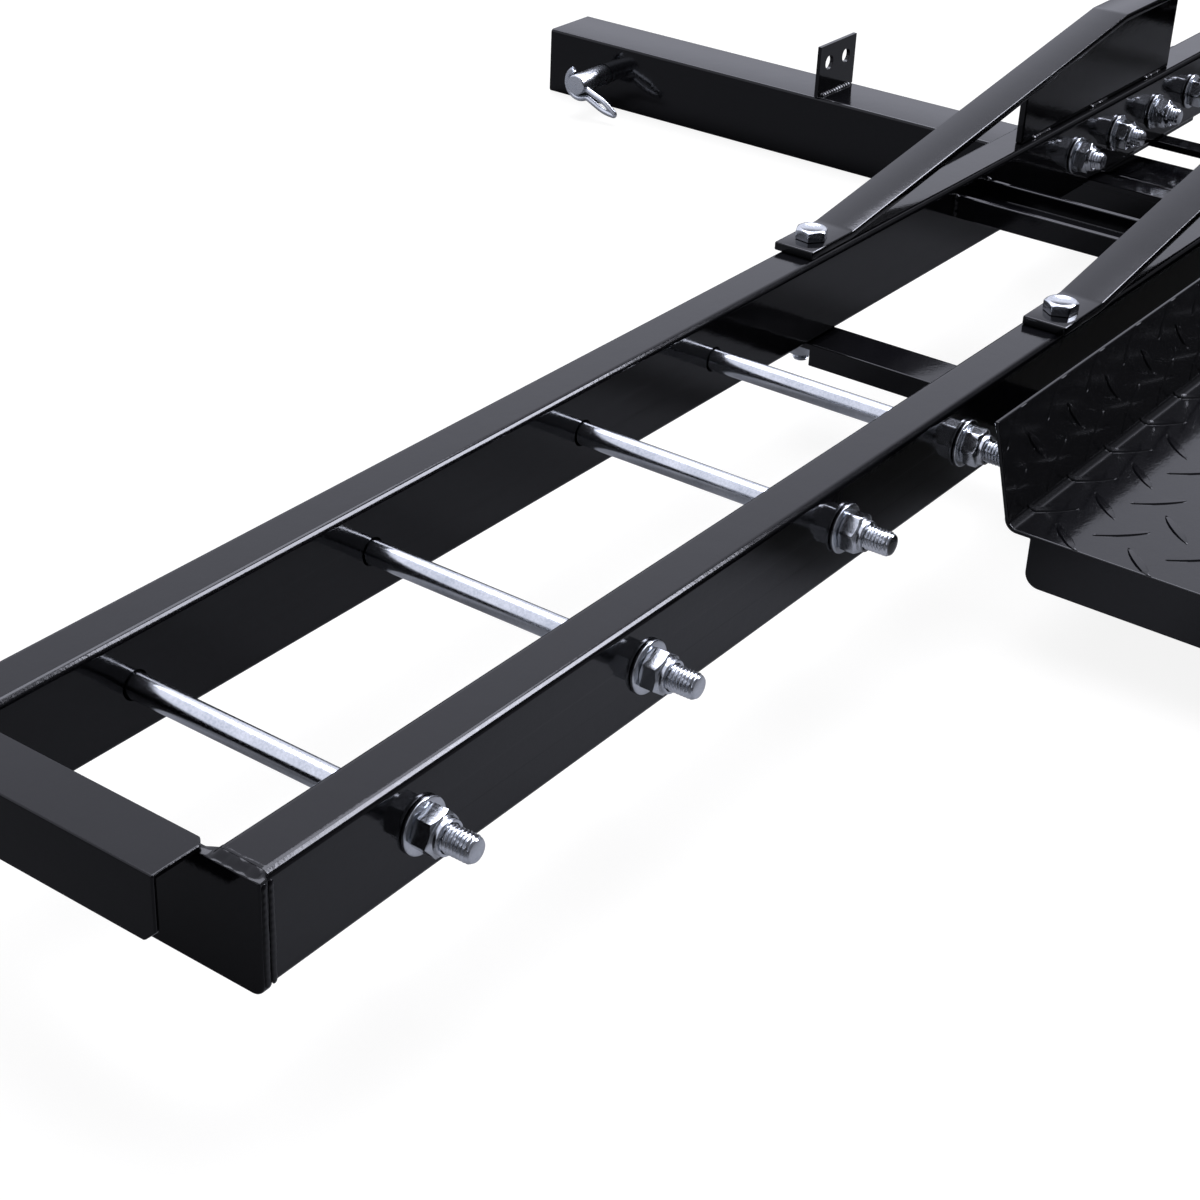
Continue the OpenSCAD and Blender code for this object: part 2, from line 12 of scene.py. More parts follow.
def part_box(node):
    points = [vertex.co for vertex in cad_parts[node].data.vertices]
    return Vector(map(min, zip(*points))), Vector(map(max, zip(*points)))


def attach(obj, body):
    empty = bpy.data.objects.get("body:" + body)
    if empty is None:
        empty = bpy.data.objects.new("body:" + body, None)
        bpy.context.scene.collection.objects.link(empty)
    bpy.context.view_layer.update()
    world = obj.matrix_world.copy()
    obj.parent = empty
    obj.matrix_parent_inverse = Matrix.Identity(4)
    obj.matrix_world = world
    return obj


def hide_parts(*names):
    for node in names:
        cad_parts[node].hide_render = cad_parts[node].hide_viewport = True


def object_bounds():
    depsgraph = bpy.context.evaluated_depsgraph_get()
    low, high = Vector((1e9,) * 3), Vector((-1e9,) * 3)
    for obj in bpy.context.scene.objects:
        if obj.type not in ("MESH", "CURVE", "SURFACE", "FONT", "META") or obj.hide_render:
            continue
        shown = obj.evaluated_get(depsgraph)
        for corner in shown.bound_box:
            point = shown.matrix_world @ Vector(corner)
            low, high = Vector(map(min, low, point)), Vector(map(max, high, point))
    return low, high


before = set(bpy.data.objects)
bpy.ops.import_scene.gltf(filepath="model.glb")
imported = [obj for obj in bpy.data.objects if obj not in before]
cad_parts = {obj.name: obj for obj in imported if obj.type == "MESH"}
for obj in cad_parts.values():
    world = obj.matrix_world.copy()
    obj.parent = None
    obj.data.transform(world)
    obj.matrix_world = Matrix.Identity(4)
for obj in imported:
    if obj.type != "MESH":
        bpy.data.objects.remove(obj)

bl_info = {
    "name": "Hitch Motorcycle Carrier Finish",
    "version": (1, 0, 0),
    "blender": (4, 5, 0),
    "location": "View3D > Sidebar > Carrier",
    "description": "Coated steel, zinc hardware and tread plate for a hitch motorcycle carrier",
    "category": "Object",
}

CAD_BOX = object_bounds()

CARRIER = "carrier"
PIN = "pin"
RAMP = "ramp"
X_AXIS = np.array([1.0, 0.0, 0.0])
Y_AXIS = np.array([0.0, 1.0, 0.0])
Z_AXIS = np.array([0.0, 0.0, 1.0])
TURN = 2 * math.pi
HEX_STEP = math.radians(60)
HEX_HALF = math.radians(30)
# Points nearer than this are merged, and points this near a face lie on it, in metres
MERGE = 2e-6
ON_FACE = 1e-5
# Depth of the dish in a bolt's head, and of the round washer face under it
HEAD_DISH = 0.0004
WASHER_FACE = 0.0005
# Rise of a bolt's tip past its last thread, and the gap round a bolt in its washer and nut
TIP_RISE = 0.0001
BORE_GAP = 0.0001
# Angles at which neighbouring nuts stand turned, in radians
NUT_SPINS = (0.35, 0.1, 0.75, 0.5)
# Lowest point of the object, where the floor lies
GROUND = CAD_BOX[0].z
# Direction towards each wide lamp, and its width in degrees
BACK_LAMP = ((0.372, 0.26, 0.891), 44)
HIGH_LAMP = ((0.3, 0.1, 1.2), 50)
# The edge lamps stand side by side, each this far over from upright, in degrees
EDGE_LEANS = (20, 36, 52)
EDGE_ALONG, EDGE_ACROSS, EDGE_WIDTH = 0.655, 0.756, 15
# Steps of the painted shade in the floor's colour as the object and its mirrors see it: past the rails' ends,
# from the near rail's side to under the track and behind it, and further out under the ramp: begin and end in
# metres, share before and after it
SHADE_PAST_END = (1.01, 1.08, 1, 0.5)
SHADE_UNDER_TRACK = (-0.6, -0.54, 1, 0.62)
SHADE_FURTHER_OUT = (-0.77, -0.69, 0.25, 1)
# Rise of the surroundings over the horizon and towards the back, and their level below both
ABOVE_HORIZON = (0.05, 0.3)
TOWARDS_BACK = (-0.25, 0.2)
DUSK = 0.14


class CarrierSizes(bpy.types.PropertyGroup):
    """Real sizes of the details that the frame leaves plain."""

    edge: FloatProperty(
        name="Edge rounding", description="Radius along cut edges of bars and sheet",
        default=0.0009, min=0.0002, max=0.0014, unit="LENGTH")
    rod: FloatProperty(
        name="Rung diameter", description="Diameter of the rung rods and bracket bolts",
        default=0.012, min=0.008, max=0.013, unit="LENGTH")
    strap_bolt: FloatProperty(
        name="Strap bolt diameter", description="Diameter of the strap bolts",
        default=0.010, min=0.008, max=0.012, unit="LENGTH")
    pitch: FloatProperty(
        name="Thread pitch", description="Distance from one thread crest to the next",
        default=0.00175, min=0.001, max=0.0025, unit="LENGTH")
    thread_depth: FloatProperty(
        name="Thread depth", description="Height of a thread from root to crest",
        default=0.00095, min=0.0004, max=0.0014, unit="LENGTH")
    strap_bend: FloatProperty(
        name="Strap bend", description="Centre radius of the bends in the arched straps",
        default=0.03, min=0.01, max=0.08, unit="LENGTH")
    weld: FloatProperty(
        name="Weld size", description="Radius of a weld bead",
        default=0.003, min=0.001, max=0.006, unit="LENGTH")
    ripple: FloatProperty(
        name="Weld ripple", description="Distance between two ripples of a weld bead",
        default=0.0034, min=0.001, max=0.006, unit="LENGTH")
    lug_length: FloatProperty(
        name="Lug length", description="Length of a tread lug",
        default=0.0302, min=0.015, max=0.04, unit="LENGTH")
    lug_width: FloatProperty(
        name="Lug width", description="Width of a tread lug",
        default=0.0058, min=0.003, max=0.012, unit="LENGTH")
    lug_height: FloatProperty(
        name="Lug height", description="Height of a tread lug over the sheet",
        default=0.0007, min=0.0003, max=0.003, unit="LENGTH")
    lug_pitch_x: FloatProperty(
        name="Lug pitch along", description="Distance between lugs of one kind along the ramp",
        default=0.0436, min=0.03, max=0.08, unit="LENGTH")
    lug_pitch_y: FloatProperty(
        name="Lug pitch across", description="Distance between lugs of one kind across the ramp",
        default=0.0388, min=0.03, max=0.08, unit="LENGTH")
    wire: FloatProperty(
        name="Clip wire", description="Diameter of the pin clip's wire",
        default=0.0044, min=0.002, max=0.0045, unit="LENGTH")


class CarrierFinish(bpy.types.PropertyGroup):
    """Colours and gloss of the finishes."""

    coat: FloatVectorProperty(
        name="Coat colour", description="Colour of the powder coat", subtype="COLOR",
        default=(0.0034, 0.0033, 0.0042), min=0, max=1, size=3)
    coat_light: FloatVectorProperty(
        name="Coat light colour", description="Lighter tone of the powder coat", subtype="COLOR",
        default=(0.0052, 0.0051, 0.0064), min=0, max=1, size=3)
    coat_gloss: FloatProperty(
        name="Coat roughness", description="Roughness of the powder coat",
        default=0.085, min=0.05, max=0.8, subtype="FACTOR")
    coat_specular: FloatProperty(
        name="Coat specular", description="Specular level of the powder coat",
        default=0.28, min=0, max=1, subtype="FACTOR")
    zinc: FloatVectorProperty(
        name="Zinc colour", description="Colour of the zinc plating", subtype="COLOR",
        default=(0.44, 0.465, 0.50), min=0, max=1, size=3)
    zinc_light: FloatVectorProperty(
        name="Zinc light colour", description="Lighter tone of the zinc plating", subtype="COLOR",
        default=(0.68, 0.695, 0.715), min=0, max=1, size=3)
    zinc_gloss: FloatProperty(
        name="Zinc roughness", description="Roughness of the zinc plating",
        default=0.13, min=0.05, max=0.8, subtype="FACTOR")


class CarrierStage(bpy.types.PropertyGroup):
    """Camera, lamps and floor."""

    lens: FloatProperty(
        name="Lens", description="Focal length on a 36 mm sensor, in millimetres",
        default=70.25, min=20, max=200)
    place: FloatVectorProperty(
        name="Camera place", description="Where the camera stands", subtype="TRANSLATION",
        default=(-1.50558, -1.05412, 0.57844), size=3)
    azimuth: FloatProperty(
        name="Azimuth", description="Direction of the view from +X towards +Y",
        default=math.radians(34.927), subtype="ANGLE")
    dip: FloatProperty(
        name="Dip", description="Angle of the view below the horizon",
        default=math.radians(30.302), subtype="ANGLE")
    roll: FloatProperty(
        name="Roll", description="Turn of the camera about its view",
        default=math.radians(2.672), subtype="ANGLE")
    back_light: FloatProperty(
        name="Back light", description="Strength of the wide soft lamp behind the object",
        default=2.0, min=0, max=5)
    high_light: FloatProperty(
        name="High light", description="Strength of the soft lamp high behind the object",
        default=0.8, min=0, max=5)
    edge_light: FloatProperty(
        name="Edge light", description="Strength of each small lamp that is only mirrored in rounded edges",
        default=1.15, min=0, max=5)
    tint: FloatVectorProperty(
        name="Light tint", description="Colour of the lamps and the surroundings", subtype="COLOR",
        default=(0.93, 0.95, 1.09), min=0, max=2, size=3)
    fill: FloatProperty(
        name="Fill", description="Strength of the surroundings on the object",
        default=0.35, min=0, max=1)
    mirrored: FloatProperty(
        name="Mirrored", description="Strength of the surroundings as seen in a mirror",
        default=1.2, min=0, max=3)
    floor: FloatVectorProperty(
        name="Floor colour", description="Colour of the floor as the camera sees it", subtype="COLOR",
        default=(0.20, 0.195, 0.175), min=0, max=1, size=3)
    floor_around: FloatVectorProperty(
        name="Floor colour in mirrors", description="Colour of the floor as the object sees it",
        subtype="COLOR", default=(0.47, 0.475, 0.485), min=0, max=1, size=3)
    floor_glow: FloatProperty(
        name="Floor glow", description="White that the floor adds as the camera sees it",
        default=0.89, min=0, max=1)
    floor_mirrored: FloatProperty(
        name="Mirrored floor glow",
        description="White that the floor adds as seen in a mirror or through glass",
        default=0.03, min=0, max=1)


def sizes():
    """The sizes that a user may change."""
    return bpy.context.scene.carrier_sizes


def finish():
    """The colours and gloss that a user may change."""
    return bpy.context.scene.carrier_finish


# Mesh building


def grid_cells(rows, columns):
    """Quads between neighbouring points of a grid, as the points' numbers row by row."""
    index = np.arange(rows * columns).reshape(rows, columns)
    return np.stack([index[:-1, :-1], index[1:, :-1], index[1:, 1:], index[:-1, 1:]], -1).reshape(-1, 4)


def surface_mesh(name, grids):
    """One closed mesh from grids of points, each of shape (rows, columns, 3).

    Each cell of a grid is a quad between neighbouring points. A seam or a pole is a row or a column
    of equal points, which are merged, and the faces are then turned outwards.
    """
    points, faces, start = [], [], 0
    for grid in grids:
        points.append(grid.reshape(-1, 3))
        faces.append(start + grid_cells(*grid.shape[:2]))
        start += len(points[-1])
    mesh = bpy.data.meshes.new(name)
    mesh.from_pydata(np.concatenate(points).tolist(), [], np.concatenate(faces).tolist())
    tidy_mesh(mesh)
    return mesh


def tidy_mesh(mesh):
    """Merges equal points, drops faces without area and turns the rest outwards."""
    work = bmesh.new()
    work.from_mesh(mesh)
    bmesh.ops.remove_doubles(work, verts=work.verts, dist=MERGE)
    bmesh.ops.dissolve_degenerate(work, edges=work.edges, dist=MERGE)
    bmesh.ops.recalc_face_normals(work, faces=work.faces)
    work.to_mesh(mesh)
    work.free()


def piece(name, mesh, material, body, replaced=(), crease=32):
    """Shows a mesh as a piece that rides on a body; edges sharper than crease stay sharp."""
    item = bpy.data.objects.new(name, mesh)
    bpy.context.scene.collection.objects.link(item)
    mesh.materials.clear()
    mesh.materials.append(material)
    mesh.shade_smooth()
    mesh.set_sharp_from_angle(angle=math.radians(crease))
    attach(item, body)
    if replaced:
        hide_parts(*replaced)
    return item


def built(name, grids, material, body, node=None, crease=32):
    """A piece made from grids of points, which takes the place of a CAD node where one is named."""
    return piece(name, surface_mesh(name, grids), material, body, [node] if node else (), crease)


def softened(node, material, body, width):
    """A copy of a CAD piece whose sharp edges are rounded by a bevel of the given width."""
    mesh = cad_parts[node].data.copy()
    mesh.name = node + "_finish"
    work = bmesh.new()
    work.from_mesh(mesh)
    bmesh.ops.remove_doubles(work, verts=work.verts, dist=MERGE)
    bmesh.ops.dissolve_limit(work, angle_limit=math.radians(1), verts=work.verts, edges=work.edges)
    work.to_mesh(mesh)
    work.free()
    item = piece(node + "_finish", mesh, material, body, [node])
    bevel = item.modifiers.new("edge rounding", "BEVEL")
    bevel.width = width
    bevel.segments = 3
    bevel.limit_method = "ANGLE"
    bevel.angle_limit = math.radians(40)
    bevel.harden_normals = True
    return item


def smoothed(node, material, body):
    """A copy of a CAD piece with its rounded corners shaded smooth and its flat faces left flat."""
    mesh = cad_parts[node].data.copy()
    mesh.name = node + "_finish"
    tidy_mesh(mesh)
    item = piece(node + "_finish", mesh, material, body, [node])
    flats = item.modifiers.new("flat faces", "WEIGHTED_NORMAL")
    flats.keep_sharp = True
    return item


def hex_reach(angle, flats):
    """Distance from the axis to the side of a hexagon with the given width across its flats."""
    return flats / 2 / np.cos((angle + HEX_HALF) % HEX_STEP - HEX_HALF)


def turned(stations, spin=0.0, around=72):
    """Radius and height grids of a turned shape with hexagonal parts.

    A station is (height, radius, flats). At each station the shape is a circle of that radius, cut
    down by a hexagon with that width across its flats where flats is above zero.
    """
    angle = np.linspace(0, TURN, around + 1)
    height = np.array([s[0] for s in stations])[:, None] + 0 * angle
    radius = np.array([s[1] for s in stations])[:, None] + 0 * angle
    flats = np.array([s[2] if s[2] > 0 else 1.0 for s in stations])[:, None]
    hexagon = hex_reach(angle[None, :] + spin, flats)
    cut = np.array([s[2] > 0 for s in stations])[:, None]
    return np.where(cut, np.minimum(radius, hexagon), radius), height


def threaded(low, high, radius, pitch, depth, chamfer, around=48, per_turn=10):
    """Radius and height grids of a threaded stretch.

    The radius falls from the crest by a triangle wave of height minus angle over a turn, so the
    crest climbs one pitch per turn. The wave is stretched and clipped to flat crests and roots. It
    fades in at the low end and is cut by a chamfer at the tip, which starts just below the root.
    """
    angle = np.linspace(0, TURN, around + 1)
    rows = max(int((high - low) / pitch * per_turn), 8)
    height = np.linspace(low, high, rows)[:, None] + 0 * angle
    phase = (height / pitch - angle / TURN) % 1.0
    wave = np.clip(1.25 * np.abs(2 * phase - 1) - 0.12, 0, 1)
    fade = np.clip((height - low) / (1.5 * pitch), 0, 1)
    grid = radius - depth * wave * fade
    cut = depth * 1.15
    tip = radius - cut + (high - height) * cut / chamfer
    return np.minimum(grid, tip), height


def on_axis(radius, height, seat, axis, side):
    """Points of radius and height grids about the axis through seat; side is where angle 0 points."""
    angle = np.linspace(0, TURN, radius.shape[1])
    third = np.cross(axis, side)
    ring = np.cos(angle)[:, None] * side + np.sin(angle)[:, None] * third
    return seat + radius[..., None] * ring + height[..., None] * axis


def hex_head(head, flats):
    """Stations of a hex head from the middle of its top, at height -head, to its bearing face at 0.

    The top is a shallow dish inside a flat ring, then a 30 degree chamfer cuts the six corners.
    """
    corner = flats / 2 / math.cos(HEX_HALF)
    ring = flats * 0.46
    drop = (corner - ring) * math.tan(HEX_HALF)
    dish = -head + HEAD_DISH
    stations = [(dish, 0, 0), (dish, ring * 0.70, 0), (-head, ring * 0.80, 0), (-head, ring, flats)]
    for share in np.linspace(0.12, 1, 8):
        stations.append((-head + drop * share, ring + (corner - ring) * share, flats))
    stations += [(-WASHER_FACE, corner, flats), (-WASHER_FACE, flats * 0.475, 0), (0, flats * 0.465, 0)]
    return stations


def bolt_grid(seat, axis, side, head, flats, size, length, thread, spin=0.0):
    """Points of a hex-head bolt: head above the bearing face at seat, shank along axis, thread at its end."""
    s = sizes()
    radius = size / 2
    around = 72
    head_rows = hex_head(head, flats) + [(0, radius, 0), (length - thread, radius, 0)]
    top = turned(head_rows, spin, around)
    screw = threaded(length - thread, length, radius, s.pitch, s.thread_depth, s.pitch, around)
    last = screw[0][-1].min()
    tip = turned([(length + TIP_RISE, last * 0.9, 0), (length + TIP_RISE, 0, 0)], 0, around)
    radii = np.concatenate([top[0], screw[0], tip[0]])
    heights = np.concatenate([top[1], screw[1], tip[1]])
    return on_axis(radii, heights, seat, axis, side)


def washer_grid(seat, axis, side, outer, inner, thick):
    """Points of a washer from seat along axis: a ring section with rounded rims carried round the axis."""
    lip = thick * 0.32
    bend = np.linspace(0, math.pi / 2, 4)
    outline = [(inner, lip * 0.5), (inner, thick - lip * 0.5), (inner + lip * 0.5, thick)]
    outline += [(outer - lip + lip * math.sin(a), thick - lip + lip * math.cos(a)) for a in bend]
    outline += [(outer - lip + lip * math.cos(a), lip - lip * math.sin(a)) for a in bend]
    outline += [(inner + lip * 0.5, 0), (inner, lip * 0.5)]
    stations = [(h, r, 0) for r, h in outline]
    radius, height = turned(stations, 0, 64)
    return on_axis(radius, height, seat, axis, side)


def nut_grid(seat, axis, side, flats, tall, bore, collar, spin=0.0):
    """Points of a hex nut from seat along axis, with a round collar on top where collar is above zero.

    The section runs up the chamfered hexagon, over the collar's rolled lip and down the bore.
    """
    corner = flats / 2 / math.cos(HEX_HALF)
    ring = flats * 0.47
    drop = (corner - ring) * math.tan(HEX_HALF)
    rise = np.linspace(0, 1, 7)
    mouth = 0.0006
    stations = [(mouth, bore, 0), (0, bore + mouth, 0), (0, ring, 0)]
    stations += [(drop * a, ring + (corner - ring) * a, flats) for a in rise[1:]]
    stations += [(tall - drop * a, ring + (corner - ring) * a, flats) for a in rise[::-1]]
    if collar > 0:
        reach = flats * 0.435
        roll = collar * 0.45
        stations += [(tall, reach + mouth, 0), (tall + 0.0005, reach, 0)]
        stations += [(tall + collar - roll + roll * math.sin(a), reach - roll + roll * math.cos(a), 0)
                     for a in np.linspace(0, math.pi / 2, 5)]
        stations += [(tall + collar, bore + 0.0014, 0), (tall + collar - 0.0009, bore + 0.0004, 0)]
    else:
        stations += [(tall, bore + mouth, 0)]
    stations += [(tall * 0.6, bore, 0), (mouth, bore, 0)]
    radius, height = turned(stations, spin, 72)
    return on_axis(radius, height, seat, axis, side)


def steps(values, gap):
    """Splits numbers where two neighbours in order lie further apart than gap; gives (low, high) pairs."""
    ordered = np.sort(values)
    cuts = np.flatnonzero(np.diff(ordered) > gap)
    lows = np.r_[ordered[0], ordered[cuts + 1]]
    highs = np.r_[ordered[cuts], ordered[-1]]
    return list(zip(lows, highs))


def node_points(node):
    """Points of a CAD node's mesh."""
    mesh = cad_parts[node].data
    points = np.zeros(len(mesh.vertices) * 3, np.float32)
    mesh.vertices.foreach_get("co", points)
    return points.reshape(-1, 3).astype(float)


def solids_in(node, gap=0.01):
    """(low corner, high corner) of each fastener of a node.

    Its points are split where they lie apart along X, then by the track's middle line.
    """
    points = node_points(node)
    found = []
    for low, high in steps(points[:, 0], gap):
        here = points[(points[:, 0] >= low) & (points[:, 0] <= high)]
        for group in (here[here[:, 1] < TRACK_Y], here[here[:, 1] >= TRACK_Y]):
            if len(group):
                found.append((group.min(0), group.max(0)))
    return found


def middle(box):
    """The point midway between a box's two corners."""
    return (box[0] + box[1]) / 2


def seat_on(box, axis, place):
    """The middle of a box, moved along one axis to a place."""
    seat = middle(box)
    seat[axis] = place
    return seat


def flats_of(box):
    """Width across the flats of a hexagon whose corners lie on the box's sides in X."""
    return (box[1][0] - box[0][0]) * math.cos(HEX_HALF)


def radius_of(box):
    """Radius of a round piece whose axis lies square to X: half of its box's width."""
    return (box[1][0] - box[0][0]) / 2


def box_of(node):
    """(low corner, high corner) of a CAD node, as arrays."""
    low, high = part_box(node)
    return np.array(low), np.array(high)


def rounded_path(corners, radii, per_bend=10, run=0.02):
    """Points along a polyline whose inner corners are arcs of the given radii.

    An arc starts at radius times tan(half the turn) before its corner and is drawn about the centre
    that lies on the corner's bisector.
    """
    corners = np.array(corners, float)
    points = [corners[0]]
    for before, corner, after, radius in zip(corners[:-2], corners[1:-1], corners[2:], radii):
        a = (before - corner) / np.linalg.norm(before - corner)
        b = (after - corner) / np.linalg.norm(after - corner)
        half = math.acos(np.clip(a @ b, -1, 1)) / 2
        reach = radius / math.tan(half)
        centre = corner + (a + b) / np.linalg.norm(a + b) * radius / math.sin(half)
        swing = np.linspace(half - math.pi / 2, math.pi / 2 - half, per_bend)
        inward = (corner - centre) / radius * math.sin(half)
        across = (b - a) / np.linalg.norm(b - a)
        arc = centre + radius * (np.cos(swing)[:, None] * inward + np.sin(swing)[:, None] * across)
        points += list(arc) if reach > 0 else [corner]
    points.append(corners[-1])
    dense = [points[0]]
    for a, b in zip(points[:-1], points[1:]):
        parts = max(int(np.linalg.norm(b - a) / run), 1)
        dense += [a + (b - a) * i / parts for i in range(1, parts + 1)]
    return np.array(dense)


def path_frames(path, normal):
    """Unit vectors at each point of a path that lies square to normal: along it, across it, and normal."""
    along = np.gradient(path, axis=0)
    along /= np.linalg.norm(along, axis=1)[:, None]
    across = np.cross(np.broadcast_to(normal, along.shape), along)
    return along, across, np.broadcast_to(normal, along.shape)


def wire_grid(path, normal, radius, end=0.3, around=20):
    """Points of a round wire: a circle carried along a path in the plane square to normal.

    The radius is one number or one per point of the path. At each end the circle shrinks along a
    quarter ellipse that is end times the radius deep.
    """
    along, across, upright = path_frames(path, normal)
    angle = np.linspace(0, TURN, around + 1)
    swing = np.linspace(0, math.pi / 2, 5)
    size = np.zeros(len(path)) + radius
    centres = [path[0] + along[0] * size[0] * end * (1 - math.sin(a)) for a in swing]
    ends = [path[-1] - along[-1] * size[-1] * end * (1 - math.sin(a)) for a in swing]
    shrink = 1 - end + end * np.cos(swing)
    rows_c = np.concatenate([[path[0]], centres[::-1], path[1:-1], ends[::-1], [path[-1]]])
    rows_r = np.concatenate([[0], size[0] * shrink[::-1], size[1:-1], size[-1] * shrink, [0]])
    n = len(swing)
    pick = np.r_[[0] * (n + 1), np.arange(1, len(path) - 1), [len(path) - 1] * (n + 1)]
    ring = (np.cos(angle)[None, :, None] * across[pick][:, None, :]
            + np.sin(angle)[None, :, None] * upright[pick][:, None, :])
    return rows_c[:, None, :] + rows_r[:, None, None] * ring


def flat_bar_grid(path, normal, width, thick, edge):
    """Points of a flat bar: a rectangle with round corners carried along a path square to normal.

    The bar's thickness lies across the path and its width along normal. At both ends the rectangle
    draws in by edge along a quarter circle, and closes on its middle.
    """
    along, across, upright = path_frames(path, normal)
    bend = np.linspace(0, math.pi / 2, 4)
    corners = [(1, 1, 0), (-1, 1, 1), (-1, -1, 2), (1, -1, 3)]
    outline = [(sx * (width / 2 - edge), sy * (thick / 2 - edge), bend + q * math.pi / 2)
               for sx, sy, q in corners]
    base = np.array([(x, y) for x, y, a in outline for _ in a])
    out = np.array([(math.cos(t), math.sin(t)) for _, _, a in outline for t in a])
    base = np.vstack([base, base[:1]])
    out = np.vstack([out, out[:1]])
    ring = base + out * edge
    swing = np.linspace(0, math.pi / 2, 4)
    grown = [base + out * edge * math.sin(a) for a in swing]
    depth = [edge * (1 - math.cos(a)) for a in swing]
    last = len(path) - 1
    flat = np.array([0 * ring, *grown, *[ring] * (last - 1), *grown[::-1], 0 * ring])
    centres = [path[0], *[path[0] + along[0] * d for d in depth], *path[1:-1],
               *[path[-1] - along[-1] * d for d in depth[::-1]], path[-1]]
    pick = [0] * 5 + list(range(1, last)) + [last] * 5
    return (np.array(centres)[:, None, :]
            + flat[..., :1] * upright[pick][:, None, :]
            + flat[..., 1:] * across[pick][:, None, :])


def weld_grid(start, end, out, radius, seed=0, flatten=1.0):
    """Points of a weld bead from start to end, bulging towards out.

    The bead is a circle carried along the line. Its radius grows and shrinks a little once per
    ripple, later at the sides than at the crest, so each ripple is a crescent, and it closes at both
    ends along a half ellipse.
    """
    start, end = np.array(start, float), np.array(end, float)
    length = np.linalg.norm(end - start)
    line = (end - start) / length
    out = np.array(out, float)
    out -= (out @ line) * line
    out /= np.linalg.norm(out)
    side = np.cross(line, out)
    rows = max(int(length / sizes().ripple * 8), 12)
    place = (1 - np.cos(np.linspace(0, math.pi, rows)))[:, None] / 2 * length
    place = 0.6 * place + 0.4 * np.linspace(0, length, rows)[:, None]
    angle = np.linspace(0, TURN, 15)[None, :]
    wander = np.random.default_rng(seed).uniform(-1, 1, 4)
    drift = sum(w * np.sin(place * TURN / (length * (0.35 + 0.3 * i)) + i) for i, w in enumerate(wander))
    phase = TURN * (place + 0.35 * radius * (1 - np.cos(angle))) / sizes().ripple
    near_end = np.clip(1 - np.minimum(place, length - place) / (radius * 1.3), 0, 1)
    closing = np.sqrt(np.clip(1 - near_end ** 2, 0, 1))
    size = radius * (1 + 0.035 * np.cos(phase) + 0.05 * drift) * closing
    return (start + place[..., None] * line
            + (size * np.cos(angle))[..., None] * out * flatten
            + (size * np.sin(angle))[..., None] * side)


# Materials


class NodeBench:
    """Places nodes in a tree and joins their sockets."""

    def __init__(self, tree):
        self.tree = tree
        self.column = 0

    def add(self, kind, **values):
        node = self.tree.nodes.new(kind)
        self.column += 1
        node.location = (180 * self.column, -40 * (self.column % 5))
        for name, value in values.items():
            setattr(node, name, value)
        return node

    def link(self, source, target):
        self.tree.links.new(source, target)

    def noise(self, vector, scale, detail=2.0, rough=0.5):
        """Cloudy noise from 0 to 1, with scale cells to a metre."""
        node = self.add("ShaderNodeTexNoise")
        node.inputs["Scale"].default_value = scale
        node.inputs["Detail"].default_value = detail
        node.inputs["Roughness"].default_value = rough
        self.link(vector, node.inputs["Vector"])
        return node.outputs["Fac"]

    def spread(self, value, low, high, to_low, to_high):
        """A straight rise from to_low at low to to_high at high."""
        node = self.add("ShaderNodeMapRange")
        for name, number in (("From Min", low), ("From Max", high), ("To Min", to_low), ("To Max", to_high)):
            node.inputs[name].default_value = number
        self.link(value, node.inputs["Value"])
        return node.outputs["Result"]

    def smooth(self, value, low, high, to_low, to_high):
        """A smoothstep from to_low at low to to_high at high."""
        result = self.spread(value, low, high, to_low, to_high)
        result.node.interpolation_type = "SMOOTHSTEP"
        return result

    def math(self, operation, a, b):
        node = self.add("ShaderNodeMath", operation=operation)
        for socket, value in zip(node.inputs, (a, b)):
            if isinstance(value, bpy.types.NodeSocket):
                self.link(value, socket)
            else:
                socket.default_value = value
        return node.outputs["Value"]

    def colour(self, value):
        """A colour that is the same everywhere."""
        socket = self.add("ShaderNodeRGB").outputs[0]
        socket.default_value = (*value, 1)
        return socket

    def tones(self, factor, dark, light):
        """A colour between dark at 0 and light at 1."""
        node = self.add("ShaderNodeMix", data_type="RGBA")
        self.link(factor, node.inputs["Factor"])
        self.link(dark, node.inputs["A"])
        self.link(light, node.inputs["B"])
        return [o for o in node.outputs if o.type == "RGBA"][0]

    def bump(self, height, strength, distance):
        """A normal that leans as the height changes."""
        node = self.add("ShaderNodeBump")
        node.inputs["Strength"].default_value = strength
        node.inputs["Distance"].default_value = distance
        self.link(height, node.inputs["Height"])
        return node.outputs["Normal"]


def finish_group(name, dark, light):
    """A shader node group with the inputs and outputs that every finish has.

    Gives its bench, what it is given, what it has to make, and Object coordinates for its patterns.
    """
    group = bpy.data.node_groups.new(name, "ShaderNodeTree")
    colour, number = "NodeSocketColor", "NodeSocketFloat"
    for label, kind, value in (("Dark", colour, (dark, dark, dark, 1)),
                               ("Light", colour, (light, light, light, 1)),
                               ("Gloss", number, 0.2), ("Texture", number, 1.0)):
        socket = group.interface.new_socket(name=label, in_out="INPUT", socket_type=kind)
        socket.default_value = value
    for label, kind in (("Color", colour), ("Roughness", number), ("Normal", "NodeSocketVector")):
        group.interface.new_socket(name=label, in_out="OUTPUT", socket_type=kind)
    bench = NodeBench(group)
    given, made = bench.add("NodeGroupInput").outputs, bench.add("NodeGroupOutput").inputs
    return bench, given, made, bench.add("ShaderNodeTexCoord").outputs["Object"]


